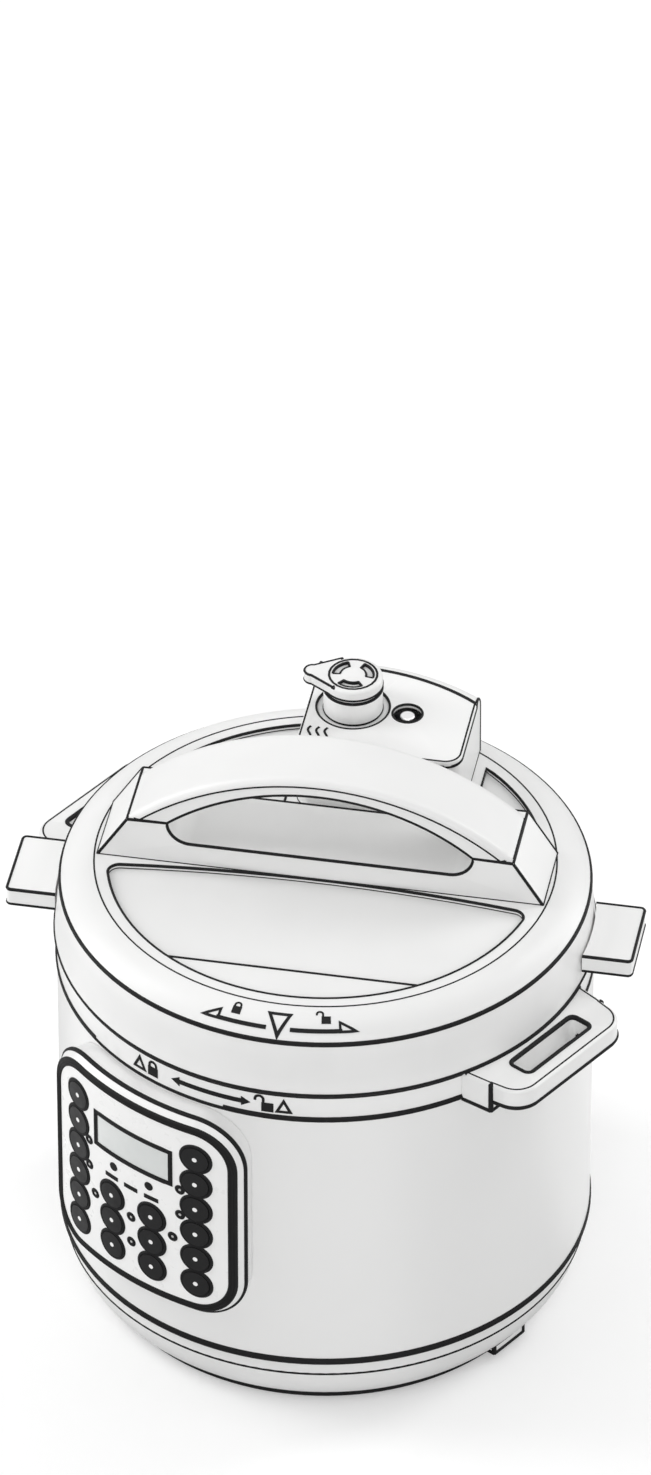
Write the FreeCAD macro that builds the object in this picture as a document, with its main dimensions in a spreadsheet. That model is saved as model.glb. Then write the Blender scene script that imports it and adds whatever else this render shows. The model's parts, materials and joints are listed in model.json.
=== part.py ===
import FreeCAD, Part
import math
import os
import re

import Sketcher
from FreeCAD import Placement, Rotation, Vector

# An electric pressure cooker, in millimetres. The origin is the middle of the foot ring's underside, +Z is up
# and the control panel faces -Y. The lid lies unlocked, turned from its locked place by lock_turn.

SIZES = [
    ("fit", 0.3, "clearance between fitted pieces"),
    ("past", 1, "how far a cut or a root runs past the face that it meets"),
    ("body_radius", 140, "outer radius of the steel sleeve"),
    ("sleeve_wall", 1.0, "sheet of the sleeve"),
    ("sleeve_low", 42, "lower edge of the sleeve"),
    ("sleeve_tall", 164, "height of the sleeve"),
    ("collar_tall", 16, "height of the collar above the sleeve"),
    ("moulding", 2.5, "wall of the base mouldings"),
    ("spigot", 9, "depth of the mouldings inside the sleeve"),
    ("bead", 2, "bead under the sleeve's lower edge"),
    ("band_inset", 2, "inset of the bottom cover's upright band"),
    ("band_low", 31, "lower edge of the band"),
    ("flank_curve", 40, "radius of the curved flank"),
    ("foot_inset", 17, "inset of the foot ring from the band"),
    ("foot_width", 9, "width of the foot ring"),
    ("foot_rise", 4, "height of the foot ring"),
    ("foot_bevel", 1, "bevel of the foot ring's lower edge"),
    ("block_half", 12, "half width of a side foot block"),
    ("block_proud", 6, "reach of a side foot block beyond the foot ring"),
    ("block_tall", 9, "height of a side foot block above the foot ring"),
    ("vent_in", 62, "inner end of a floor vent"),
    ("vent_out", 88, "outer end of a floor vent"),
    ("vent_half", 2.5, "half width of a floor vent"),
    ("vent_count", 12, "floor vents"),
    ("land_wide", 7, "width of the collar's top land"),
    ("gutter_deep", 11, "depth of the collar's gutter"),
    ("lip_wide", 2.8, "width of the collar's inner lip"),
    ("bracket_angle", 34, "angle that the rear bracket spans"),
    ("bracket_proud", 14, "reach of the rear bracket beyond the sleeve"),
    ("bracket_drop", 19.5, "depth of the rear bracket below the collar's top"),
    ("bracket_rise", 6, "height of the rear bracket above the collar's top"),
    ("bracket_lean", 5, "sloped outer edge of the rear bracket"),
    ("bracket_gap", 2, "room for the lid inside the rear bracket"),
    ("bracket_seat", 2, "distance of the rear bracket's root from the land's inner edge"),
    ("handle_root", 47, "half width of a handle at the collar"),
    ("handle_tip", 42, "half width of a handle at its end"),
    ("handle_proud", 28, "reach of a handle beyond the sleeve"),
    ("handle_corner", 14, "corner radius of a handle"),
    ("handle_lip", 11.4, "thickness of a handle at its end"),
    ("handle_depth", 17.6, "thickness of a handle at its root"),
    ("handle_thick_proud", 10, "reach of a handle's thick root beyond the sleeve"),
    ("slot_rim", 9.6, "rim of a handle outside its slot"),
    ("slot_half", 6.4, "half width of the slot"),
    ("slot_long", 25, "half length of the slot"),
    ("slot_corner", 3, "corner radius of the slot"),
    ("edge_round", 2, "rounding of moulded edges"),
    ("chamber_gap", 24, "room between the sleeve's radius and the chamber's bore"),
    ("chamber_wall", 1.2, "sheet of the cooking chamber"),
    ("chamber_floor", 58, "underside of the chamber's floor"),
    ("chamber_hole", 40, "hole in the chamber's floor"),
    ("chamber_rim", 2, "thickness of the chamber's rim"),
    ("tab_drop", 2.5, "depth of the bayonet tabs below the collar's top"),
    ("tab_tall", 7.5, "height of the bayonet tabs"),
    ("tab_proud", 6.5, "reach of a tab beyond the gaps"),
    ("gap_proud", 4.5, "width of the bayonet ring between its tabs"),
    ("gap_root", 12.2, "half angle of a gap at its root"),
    ("gap_mouth", 17.7, "half angle of a gap at its mouth"),
    ("tab_count", 6, "tabs round the chamber"),
    ("tab_first", 7.2, "angle of the front tab from the front"),
    ("notch_half", 4.2, "half angle of the front tab's notch"),
    ("notch_deep", 4, "depth of the front tab's notch"),
    ("plate_gap", 18, "room round the heating plate"),
    ("plate_thick", 6, "thickness of the heating plate"),
    ("plate_round", 1.5, "rounding of the heating plate's edge"),
    ("plate_bore", 19, "bore of the heating plate"),
    ("heater_inset", 22, "inset of the cast-in heater's middle from the plate's edge"),
    ("heater_half", 8, "half width of the cast-in heater"),
    ("heater_drop", 2.8, "depth of the cast-in heater below the plate"),
    ("terminal_at", 30, "distance of the heater terminals from the axis"),
    ("terminal_radius", 3, "radius of a heater terminal"),
    ("terminal_long", 14, "length of a heater terminal"),
    ("sensor_radius", 15.2, "radius of the temperature sensor"),
    ("sensor_deep", 10, "height of the temperature sensor"),
    ("sensor_wall", 1.5, "wall of the sensor and its holder"),
    ("sensor_round", 1, "rounding of the sensor's top edge"),
    ("holder_flange", 23, "radius of the sensor holder's flange"),
    ("holder_low", 40, "underside of the sensor holder"),
    ("spring_radius", 9, "middle radius of the sensor spring"),
    ("spring_wire", 1.6, "wire of the sensor spring"),
    ("spring_turns", 4, "turns of the sensor spring"),
    ("fuse_radius", 2.2, "radius of the thermal fuse"),
    ("fuse_long", 18, "length of the thermal fuse"),
    ("fuse_at", 28, "distance of the thermal fuse from the axis"),
    ("strap_wall", 1, "wall of the thermal fuse's strap"),
    ("strap_half", 2, "half width of the thermal fuse's strap"),
    ("switch_inset", 43, "inset of the pressure switch from the heating plate's edge"),
    ("switch_long", 20, "length of the pressure switch"),
    ("switch_wide", 6.4, "width of the pressure switch"),
    ("switch_tall", 10, "height of the pressure switch"),
    ("lever_inset", 2, "inset of the switch's lever from its ends"),
    ("lever_thick", 1.5, "thickness of the switch's lever"),
    ("board_half_x", 46, "half length of the power board"),
    ("board_half_y", 31, "half width of the power board"),
    ("board_low", 14, "underside of the power board"),
    ("board_thick", 1.6, "thickness of a circuit board"),
    ("part_inset", 6, "distance of the power board's parts from its ends"),
    ("part_gap", 3, "distance of the relay and the capacitor from the board's middle line"),
    ("coil_long", 30, "length of the transformer"),
    ("coil_half", 14, "half width of the transformer"),
    ("coil_tall", 20, "height of the transformer"),
    ("relay_long", 20, "length of the relay"),
    ("relay_wide", 15, "width of the relay"),
    ("relay_tall", 16, "height of the relay"),
    ("can_radius", 7, "radius of the capacitor"),
    ("can_tall", 18, "height of the capacitor"),
    ("post_radius", 3, "radius of a board post"),
    ("post_inset", 5, "distance of a post from the board's edges"),
    ("inlet_half", 14, "half width of the mains inlet"),
    ("inlet_low", 10.5, "underside of the mains inlet"),
    ("inlet_tall", 19, "height of the mains inlet"),
    ("inlet_inset", 8, "inset of the mains inlet's face from the band"),
    ("inlet_deep", 28, "depth of the mains inlet"),
    ("stand_deep", 8, "depth of the mains inlet's stand"),
    ("socket_wall", 2, "wall round the inlet's socket"),
    ("socket_deep", 17, "depth of the inlet's socket"),
    ("blade_wide", 4, "width of an inlet blade"),
    ("blade_thick", 2, "thickness of an inlet blade"),
    ("blade_pitch", 7, "distance between inlet blades"),
    ("blade_inset", 3, "distance of an inlet blade's end from the inlet's face"),
    ("face_proud", 15, "height of the panel's face above the sleeve"),
    ("face_half", 58.5, "half width of the panel's face"),
    ("face_tall", 117, "height of the panel's face"),
    ("face_drop", 9, "upper edge of the panel's face below the sleeve's"),
    ("face_corner", 21, "corner radius of the panel's face"),
    ("bezel_side", 6.5, "width of the bezel round the face"),
    ("bezel_slope", 4.5, "slope of the bezel"),
    ("ledge", 4.5, "ledge that carries the fascia"),
    ("fascia", 2.4, "thickness of the fascia"),
    ("window_half", 25.5, "half width of the display window"),
    ("window_tall", 21, "height of the display window"),
    ("window_drop", 19, "upper edge of the display window below the face's"),
    ("window_corner", 2, "corner radius of the display window"),
    ("window_thick", 1.6, "thickness of the display window"),
    ("module_inset", 2, "inset of the display module from the window's sides"),
    ("module_margin", 1, "distance of the display module from the window's upper and lower edges"),
    ("panel_board_inset", 1, "front of the control board behind the sleeve's radius"),
    ("panel_board_side", 14.5, "inset of the control board's sides from the face's edge"),
    ("panel_board_margin", 8, "distance of the control board from the face's edges"),
    ("board_room", 2, "room round the control board in the sleeve"),
    ("panel_boss", 2.4, "radius of a fascia boss"),
    ("panel_boss_gap", 13.3, "distance of the fascia bosses from the outer keys"),
    ("panel_boss_rise", 24, "height of the lower fascia bosses above the face's edge"),
    ("panel_boss_drop", 11, "upper fascia bosses below the face's edge"),
    ("key_radius", 7.4, "radius of a key"),
    ("key_flange", 1, "flange behind a key"),
    ("key_proud", 0.8, "height of a key above the fascia"),
    ("key_travel", 0.6, "travel of a key"),
    ("key_margin", 18.5, "inset of the outer key columns from the face's edge"),
    ("key_inner", 13.5, "distance of the inner key columns"),
    ("key_rise", 15.5, "height of the lowest key row above the face's edge"),
    ("key_pitch", 16.8, "distance between key rows"),
    ("switch_half", 2.5, "half width of a key switch"),
    ("lamp_radius", 1.2, "radius of an indicator lens"),
    ("lamp_deep", 4, "length of an indicator lens"),
    ("lamp_outer_gap", 9, "distance of the outer lenses from the outer keys"),
    ("lamp_inner_gap", 13.5, "distance of the inner lenses from the outer keys"),
    ("lamp_lift", 9.5, "height of a lens above its key row"),
    ("cup_half", 33, "half width of the condensation cup"),
    ("cup_tall", 46.2, "height of the condensation cup"),
    ("cup_proud", 15.7, "reach of the condensation cup beyond the sleeve"),
    ("cup_wall", 1.8, "wall of the condensation cup"),
    ("cup_ear", 4, "width of the cup's ears"),
    ("cup_ear_thick", 2, "thickness of the cup's ears"),
    ("rail", 2, "thickness of the cup's rails"),
    ("rail_gap", 1, "room between the cup's sides and its rails"),
    ("rail_inset", 1, "inset of the rails from the bracket's outer face"),
    ("pot_gap", 4, "room between the pot and the chamber"),
    ("pot_wall", 1.0, "sheet of the pot"),
    ("pot_corner", 26, "corner radius of the pot"),
    ("pot_rim_wide", 9, "width of the pot's rim"),
    ("pot_roll", 1.6, "radius of the rolled edge"),
    ("pot_flare", 4, "radius of the bend under the pot's rim"),
    ("lid_gap", 0.5, "gap between the collar and the lid's skirt"),
    ("lock_turn", 30, "turn between locked and unlocked"),
    ("lid_proud", 1, "reach of the lid's skirt beyond the sleeve"),
    ("skirt_lean", 3, "lean of the lid's skirt"),
    ("skirt_rise", 31.7, "height of the lid's skirt"),
    ("skirt_wall", 1.6, "wall of the lid's skirt"),
    ("skirt_ledge_wide", 5, "width of the skirt's ledge on the lid plate"),
    ("pan_rise", 15.5, "underside of the lid plate above the skirt's edge"),
    ("pan_wall", 2, "sheet of the lid plate"),
    ("pan_bend", 3, "bend of the lid plate's edge"),
    ("pan_inset", 10, "inset of the lid plate from the skirt's lower edge"),
    ("pan_drop", 10, "depth of the lid plate below the skirt's edge"),
    ("crown_inset", 37, "inset of the lid plate's raised crown"),
    ("crown_rise", 4, "rise of the lid plate's crown"),
    ("crown_slope", 8, "width of the slope round the crown"),
    ("lug_gap", 1, "room between a lug and the bayonet ring"),
    ("lug_half", 10.5, "half angle of a lug"),
    ("lug_tall", 6.2, "height of a lug"),
    ("deck_inset", 18, "inset of the lid cover's deck"),
    ("deck_rise", 42.3, "top of the deck above the skirt's edge"),
    ("deck_thick", 5, "thickness of the deck"),
    ("shoulder_curve", 24, "radius of the cover's shoulder"),
    ("cover_wall", 3, "wall of the lid cover"),
    ("dish_inset", 7, "inset of the deck's dishes"),
    ("dish_deep", 2.5, "depth of the deck's dishes"),
    ("dish_back", 24.5, "ends of the front dish beside the handle"),
    ("dish_bow", 7, "bow of the front dish towards the handle"),
    ("dish_corner", 6, "corner radius of a dish"),
    ("crease", 91, "crease across the front dish"),
    ("crease_deep", 1.2, "depth of the front dish before the crease"),
    ("boss_radius", 5, "radius of a lid boss"),
    ("boss_x", 64, "distance of a lid boss from the middle, across"),
    ("boss_y", 34, "distance of a lid boss from the middle, along"),
    ("screw_radius", 1.8, "radius of a screw's shank"),
    ("screw_head", 3.6, "radius of a screw's head"),
    ("screw_head_tall", 2.2, "height of a screw's head"),
    ("screw_long", 12, "length of a screw's shank"),
    ("grip_front", 17, "front face of the lid handle"),
    ("grip_back", 27, "back face of the lid handle"),
    ("grip_foot_inset", 2, "inset of the handle's feet from the deck's edge"),
    ("grip_lean", 16.5, "lean of the handle's feet up to its seam"),
    ("grip_top", 106, "top of the handle"),
    ("grip_hole", 80, "end of the finger hole at the seam"),
    ("grip_hole_curve", 12, "radius of the finger hole's ends, from its floor to the seam"),
    ("grip_hole_floor", 55.5, "floor of the finger hole"),
    ("grip_hole_top", 96, "top of the finger hole"),
    ("grip_round_front", 4.2, "rounding of the handle's front top edge"),
    ("grip_round_back", 8.4, "rounding of the handle's back top edge"),
    ("tower_left", 24, "valve tower's left side"),
    ("tower_right", 63, "valve tower's right side"),
    ("tower_front", 41, "valve tower's front face"),
    ("tower_long", 81, "length of the valve tower"),
    ("tower_curve", 10, "rounding of the valve tower's back"),
    ("tower_top", 82, "top of the valve tower"),
    ("tower_cap", 3, "thickness of the tower's cap"),
    ("cap_round", 1, "rounding of the tower cap's upper edge"),
    ("tower_corner", 9, "corner radius of the valve tower"),
    ("knob_y", 79, "axis of the steam release, behind the middle"),
    ("knob_radius", 15.5, "radius of the knob"),
    ("knob_groove", 1, "depth and half height of the groove below the knob's crown"),
    ("knob_well", 19, "radius of the well round the knob"),
    ("knob_well_deep", 1.2, "depth of the well round the knob"),
    ("knob_slots", 3, "slots in the knob's crown"),
    ("knob_top", 103, "top of the knob"),
    ("knob_crown", 6, "thickness of the knob's crown"),
    ("pointer_reach", 26, "end of the knob's pointer"),
    ("pointer_half", 4.5, "half width of the knob's pointer at its end"),
    ("pointer_root", 13, "half width of the pointer where it leaves the knob"),
    ("knob_slot_in", 7, "inner radius of the knob's slots"),
    ("knob_slot_out", 10.5, "outer radius of the knob's slots"),
    ("knob_slot_half", 35, "half angle of the knob's slots"),
    ("knob_slot_deep", 1.2, "depth of the knob's slots"),
    ("pipe_radius", 5, "outer radius of the vent pipe"),
    ("pipe_bore", 2, "bore of the vent pipe"),
    ("pipe_flange", 9, "radius of the vent pipe's flange and nut"),
    ("pipe_flange_tall", 2, "thickness of the vent pipe's flange"),
    ("pipe_nut_tall", 5, "height of the vent pipe's nut"),
    ("pipe_taper", 4, "height of the vent pipe's tapered tip"),
    ("pipe_tip", 0.8, "wall of the vent pipe at its tip"),
    ("shield_radius", 14, "radius of the vent shield"),
    ("shield_deep", 8, "depth of the vent shield"),
    ("shield_wall", 1.2, "wall of the vent shield"),
    ("shield_bevel", 2, "bevel round the vent shield's floor"),
    ("shield_bevel_in", 1.2, "bevel inside the vent shield"),
    ("shield_slots", 8, "slots in the vent shield"),
    ("shield_slot_long", 6, "length of a slot in the vent shield"),
    ("shield_slot_half", 1, "half width of a slot in the vent shield"),
    ("shield_slot_inset", 2, "distance of a slot from the vent shield's wall"),
    ("float_x", 29, "float valve, across"),
    ("float_y", 78, "float valve, behind the middle"),
    ("float_hole", 7.7, "radius of the tower cap's float hole"),
    ("float_radius", 4, "radius of the float's pin"),
    ("float_neck", 1, "depth of the float's neck inside its seal"),
    ("float_round", 1, "rounding of the float's tip"),
    ("float_head", 6, "radius of the float's head"),
    ("float_head_tall", 3, "height of the float's shoulder"),
    ("float_rise", 5, "rise of the float"),
    ("float_top", 81, "top of the float"),
    ("float_cap", 7, "radius of the float's seal"),
    ("float_cap_tall", 3, "height of the float's seal"),
    ("float_cap_bevel", 1, "bevel of the float's seal"),
    ("rack_wire", 1.5, "radius of the seal rack's wire"),
    ("rack_post", 1.2, "radius of the seal rack's posts"),
    ("rack_inset", 3, "inset of the seal rack from the sealing ring"),
    ("rack_drop", 4.5, "drop of the seal rack below the lid plate"),
    ("seal_wide", 21, "width of the sealing ring's place in the lid plate"),
    ("seal_lip", 3, "thickness of the sealing ring's lips"),
    ("fin_proud", 24, "reach of a lid fin beyond the skirt"),
    ("fin_half", 22.5, "half width of a lid fin"),
    ("fin_low", 6, "underside of a lid fin above the skirt's edge"),
    ("fin_thick", 10, "thickness of a lid fin"),
    ("fin_corner", 2.5, "corner radius of a lid fin"),
]

# Radii and heights that follow from the sizes, counted from the axis and the underside

WORKED_OUT = {
    "heater_mid": "plate_radius - heater_inset",
    "switch_at": "plate_radius - switch_inset",
    "key_outer": "face_half - key_margin",
    "lamp_outer": "key_outer - lamp_outer_gap",
    "lamp_inner": "key_outer - lamp_inner_gap",
    "panel_board_half": "face_half - panel_board_side",
    "panel_boss_x": "key_outer - panel_boss_gap",
    "sleeve_high": "sleeve_low + sleeve_tall",
    "base_height": "sleeve_high + collar_tall",
    "band_radius": "body_radius - band_inset",
    "foot_radius": "band_radius - foot_inset",
    "block_reach": "foot_radius + block_proud",
    "block_high": "foot_rise + block_tall",
    "land_radius": "body_radius - land_wide",
    "gutter_floor": "base_height - gutter_deep",
    "lip_radius": "chamber_radius + chamber_wall + lip_wide",
    "bracket_reach": "body_radius + bracket_proud",
    "bracket_low": "base_height - bracket_drop",
    "bracket_high": "base_height + bracket_rise",
    "bracket_step": "body_radius + bracket_gap",
    "handle_reach": "body_radius + handle_proud",
    "handle_step": "body_radius + handle_thick_proud",
    "slot_middle": "handle_reach - slot_rim - slot_half",
    "chamber_radius": "body_radius - chamber_gap",
    "tab_low": "base_height - tab_drop",
    "tab_high": "tab_low + tab_tall",
    "tab_radius": "gap_radius + tab_proud",
    "gap_radius": "chamber_radius + gap_proud",
    "notch_radius": "tab_radius - notch_deep",
    "plate_radius": "chamber_radius - plate_gap",
    "inlet_face": "band_radius - inlet_inset",
    "face_radius": "body_radius + face_proud",
    "face_low": "face_high - face_tall",
    "face_high": "sleeve_high - face_drop",
    "window_low": "window_high - window_tall",
    "window_high": "face_high - window_drop",
    "panel_board": "body_radius - panel_board_inset",
    "panel_board_low": "face_low + panel_board_margin",
    "panel_board_high": "face_high - panel_board_margin",
    "panel_boss_low": "face_low + panel_boss_rise",
    "panel_boss_high": "face_high - panel_boss_drop",
    "key_first": "face_low + key_rise",
    "cup_low": "bracket_low - fit - cup_tall",
    "cup_reach": "body_radius + cup_proud",
    "pot_radius": "chamber_radius - pot_gap",
    "pot_rim": "pot_radius + pot_rim_wide",
    "lid_radius": "body_radius + lid_proud",
    "lid_shoulder": "lid_radius - skirt_lean",
    "skirt_ledge": "pan_radius - skirt_ledge_wide",
    "pan_radius": "lid_radius - pan_inset",
    "crown_radius": "pan_radius - crown_inset",
    "lug_reach": "gap_radius + lug_gap",
    "deck_radius": "lid_shoulder - deck_inset",
    "dish_radius": "deck_radius - dish_inset",
    "grip_foot": "deck_radius - grip_foot_inset",
    "grip_seam": "grip_foot - grip_lean",
    "tower_back": "tower_front + tower_long",
    "rack_radius": "seal_in - rack_inset",
    "seal_in": "pan_radius - seal_wide",
    "fin_reach": "lid_radius + fin_proud",
}

doc = FreeCAD.newDocument("PressureCooker")
sheet = doc.addObject("Spreadsheet::Sheet", "Sizes")
for row, (alias, amount, meaning) in enumerate(SIZES, start=1):
    sheet.set(f"A{row}", meaning)
    sheet.set(f"B{row}", str(amount))
    sheet.setAlias(f"B{row}", alias)
doc.recompute()

ALIASES = {alias for alias, _, _ in SIZES}
WORD = re.compile(r"[a-z][a-z_]*")
NEAR = 0.001
nodes = {}


def spelled(text):
    """An expression with each worked-out measure replaced by the sizes that it follows from."""
    return WORD.sub(lambda m: f"({spelled(WORKED_OUT[m[0]])})" if m[0] in WORKED_OUT else m[0], str(text))


def bound(text):
    """An expression of sizes, with each size led by its sheet's name."""
    return WORD.sub(lambda m: f"Sizes.{m[0]}" if m[0] in ALIASES else m[0], spelled(text))


def number(text):
    """What an expression of sizes comes to."""
    found = sheet.evalExpression(spelled(text))
    return float(getattr(found, "Value", found))


def bind(thing, **sizes):
    """Tie properties of an object to expressions; double underscores in a name stand for dots."""
    for name, text in sizes.items():
        thing.setExpression(name.replace("__", "."), bound(text))


def keep(label, thing):
    """Name a finished sub-part."""
    thing.Label = label
    nodes[label] = thing
    return thing


# Sketches and features of a body


def new_body(label):
    body = doc.addObject("PartDesign::Body", label)
    return keep(label, body)


def sketch_on(body, role="XZ_Plane", lift="0"):
    """A sketch on one of the body's own planes, lifted along the plane's normal."""
    sketch = body.newObject("Sketcher::SketchObject", f"{body.Label}_sketch")
    plane = next(f for f in body.Origin.OriginFeatures if f.Role == role)
    sketch.AttachmentSupport = (plane, [""])
    sketch.MapMode = "FlatFace"
    bind(sketch, AttachmentOffset__Base__z=lift)
    return sketch


def arc_between(a, b, radius):
    """The arc from a to b: a positive radius turns left, a negative one turns right."""
    chord = b - a
    half = chord.Length / 2
    reach = math.sqrt(max(radius * radius - half * half, 0))
    side = Vector(-chord.y, chord.x, 0).normalize() * math.copysign(reach, radius)
    centre = (a + b) * 0.5 + side
    first, last = (a, b) if radius > 0 else (b, a)
    angles = [math.atan2(p.y - centre.y, p.x - centre.x) for p in (first, last)]
    circle = Part.Circle(centre, Vector(0, 0, 1), abs(radius))
    return Part.ArcOfCircle(circle, *angles)


def draw(sketch, points):
    """A closed outline. A point is (x, y), or (x, y, radius) where an arc leads to the next point."""
    places = [Vector(number(p[0]), number(p[1]), 0) for p in points]
    start = sketch.GeometryCount
    count = len(points)
    ends = []
    for n, point in enumerate(points):
        a, b = places[n], places[(n + 1) % count]
        if len(point) == 3:
            radius = number(point[2])
            sketch.addGeometry(arc_between(a, b, radius), False)
            ends.append((1, 2) if radius > 0 else (2, 1))
        else:
            sketch.addGeometry(Part.LineSegment(a, b), False)
            ends.append((1, 2))
    for n, point in enumerate(points):
        m = (n + 1) % count
        here, there = start + n, start + m
        sketch.addConstraint(Sketcher.Constraint("Coincident", here, ends[n][1], there, ends[m][0]))
        for kind, text, at in (("DistanceX", point[0], places[n].x), ("DistanceY", point[1], places[n].y)):
            tie = sketch.addConstraint(Sketcher.Constraint(kind, -1, 1, here, ends[n][0], at))
            sketch.setExpression(f"Constraints[{tie}]", bound(text))
        if len(point) == 3:
            radius = abs(number(point[2]))
            tie = sketch.addConstraint(Sketcher.Constraint("Radius", here, radius))
            sketch.setExpression(f"Constraints[{tie}]", bound(f"abs({point[2]})"))
    return sketch


def rectangle(sketch, x0, x1, y0, y1):
    return draw(sketch, [(x0, y0), (x1, y0), (x1, y1), (x0, y1)])


def circle(sketch, x, y, radius):
    place = Vector(number(x), number(y), 0)
    n = sketch.addGeometry(Part.Circle(place, Vector(0, 0, 1), number(radius)), False)
    ties = [("DistanceX", x, place.x), ("DistanceY", y, place.y)]
    for kind, text, at in ties:
        tie = sketch.addConstraint(Sketcher.Constraint(kind, -1, 1, n, 3, at))
        sketch.setExpression(f"Constraints[{tie}]", bound(text))
    tie = sketch.addConstraint(Sketcher.Constraint("Radius", n, number(radius)))
    sketch.setExpression(f"Constraints[{tie}]", bound(radius))
    return sketch


def turn(body, sketch, angle=None):
    """Revolve a sketch about Z: all the way round, or evenly to both sides of its plane."""
    feature = body.newObject("PartDesign::Revolution", f"{body.Label}_turn")
    feature.Profile = sketch
    feature.ReferenceAxis = (sketch, ["V_Axis"])
    feature.Angle = 360
    if angle:
        feature.Midplane = True
        bind(feature, Angle=angle)
    doc.recompute()
    return feature


def pad(body, sketch, length, back=False):
    feature = body.newObject("PartDesign::Pad", f"{body.Label}_pad")
    feature.Profile = sketch
    feature.Reversed = back
    bind(feature, Length=length)
    doc.recompute()
    return feature


def pocket(body, sketch, length, back=False):
    """Cut a sketch into the body, and make sure that it took something away."""
    before = body.Shape.Volume
    feature = body.newObject("PartDesign::Pocket", f"{body.Label}_pocket")
    feature.Profile = sketch
    feature.Reversed = back
    bind(feature, Length=length)
    doc.recompute()
    if body.Shape.Volume > before - NEAR:
        raise RuntimeError(f"{body.Label}: a pocket cuts nothing")
    return feature


def around(body, feature, count):
    """Repeat a feature round Z."""
    pattern = body.newObject("PartDesign::PolarPattern", f"{body.Label}_pattern")
    pattern.Originals = [feature]
    axis = next(f for f in body.Origin.OriginFeatures if f.Role == "Z_Axis")
    pattern.Axis = (axis, [""])
    pattern.Angle = 360
    bind(pattern, Occurrences=count)
    body.Tip = pattern
    doc.recompute()
    return pattern


def rounded(body, wanted, radius, kind="Fillet"):
    """Round, or bevel, the edges that wanted picks."""
    base = body.Tip
    names = [f"Edge{n}" for n, edge in enumerate(base.Shape.Edges, start=1) if wanted(edge)]
    if not names:
        raise RuntimeError(f"{body.Label}: no edge to round")
    feature = body.newObject(f"PartDesign::{kind}", f"{body.Label}_{kind.lower()}")
    feature.Base = (base, names)
    bind(feature, **{"Radius" if kind == "Fillet" else "Size": radius})
    doc.recompute()
    return feature


def along(edge, axis):
    """Whether an edge is straight and runs along an axis."""
    box = edge.BoundBox
    spans = dict(X=box.XLength, Y=box.YLength, Z=box.ZLength)
    straight = isinstance(edge.Curve, Part.Line)
    return straight and spans[axis] > NEAR and sum(spans.values()) - spans[axis] < NEAR


def level(edge, height):
    """Whether an edge lies at one height."""
    box = edge.BoundBox
    return box.ZLength < NEAR and abs(box.ZMin - height) < NEAR


def turned(label, outline):
    """A body revolved from one outline of (radius, height) points."""
    body = new_body(label)
    turn(body, draw(sketch_on(body), outline))
    return body


# Primitives and booleans


def box(label, x0, x1, y0, y1, z0, z1):
    thing = doc.addObject("Part::Box", label)
    bind(thing, Length=f"({x1})-({x0})", Width=f"({y1})-({y0})", Height=f"({z1})-({z0})")
    bind(thing, Placement__Base__x=x0, Placement__Base__y=y0, Placement__Base__z=z0)
    return thing


def rod(label, radius, x, y, z, length, axis="Z"):
    """A cylinder that starts at a point and runs along Z, or along +X or +Y."""
    turns = dict(Z=Rotation(), X=Rotation(Vector(0, 1, 0), 90), Y=Rotation(Vector(1, 0, 0), -90))
    thing = doc.addObject("Part::Cylinder", label)
    thing.Placement = Placement(Vector(), turns[axis])
    bind(thing, Radius=radius, Height=length)
    bind(thing, Placement__Base__x=x, Placement__Base__y=y, Placement__Base__z=z)
    return thing


def combined(kind, label, first, second):
    thing = doc.addObject(f"Part::{kind}", label)
    thing.Base = first
    thing.Tool = second
    doc.recompute()
    return thing


def group(label, things, kind="Compound"):
    """Several solids in one sub-part: side by side, or fused into one."""
    thing = doc.addObject(f"Part::{'Compound' if kind == 'Compound' else 'MultiFuse'}", label)
    if kind == "Compound":
        thing.Links = things
    else:
        thing.Shapes = things
    doc.recompute()
    return keep(label, thing)


# Heights and radii that several pieces share

SLEEVE_IN = "(body_radius - sleeve_wall)"
SPIGOT_OUT = f"({SLEEVE_IN} - fit)"
COVER_FLOOR = "(foot_rise + moulding)"
PLATE_LOW = "(chamber_floor + chamber_wall + heater_drop)"
PLATE_TOP = f"({PLATE_LOW} + plate_thick)"
FACE_IN = "(face_radius - fascia)"
LID = "(base_height + lid_gap)"
PAN_LOW = f"({LID} + pan_rise)"
PAN_TOP = f"({PAN_LOW} + pan_wall)"
CROWN_LOW = f"({PAN_LOW} + crown_rise)"
CROWN_TOP = f"({PAN_TOP} + crown_rise)"
DECK = f"({LID} + deck_rise)"
DECK_LOW = f"({DECK} - deck_thick)"
TOWER = f"({LID} + tower_top)"
POT_LOW = f"({PLATE_TOP} + fit)"
POT_RIM_LOW = "(tab_high + fit)"
POT_RIM_HIGH = f"({POT_RIM_LOW} + 2 * pot_roll)"


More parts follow.
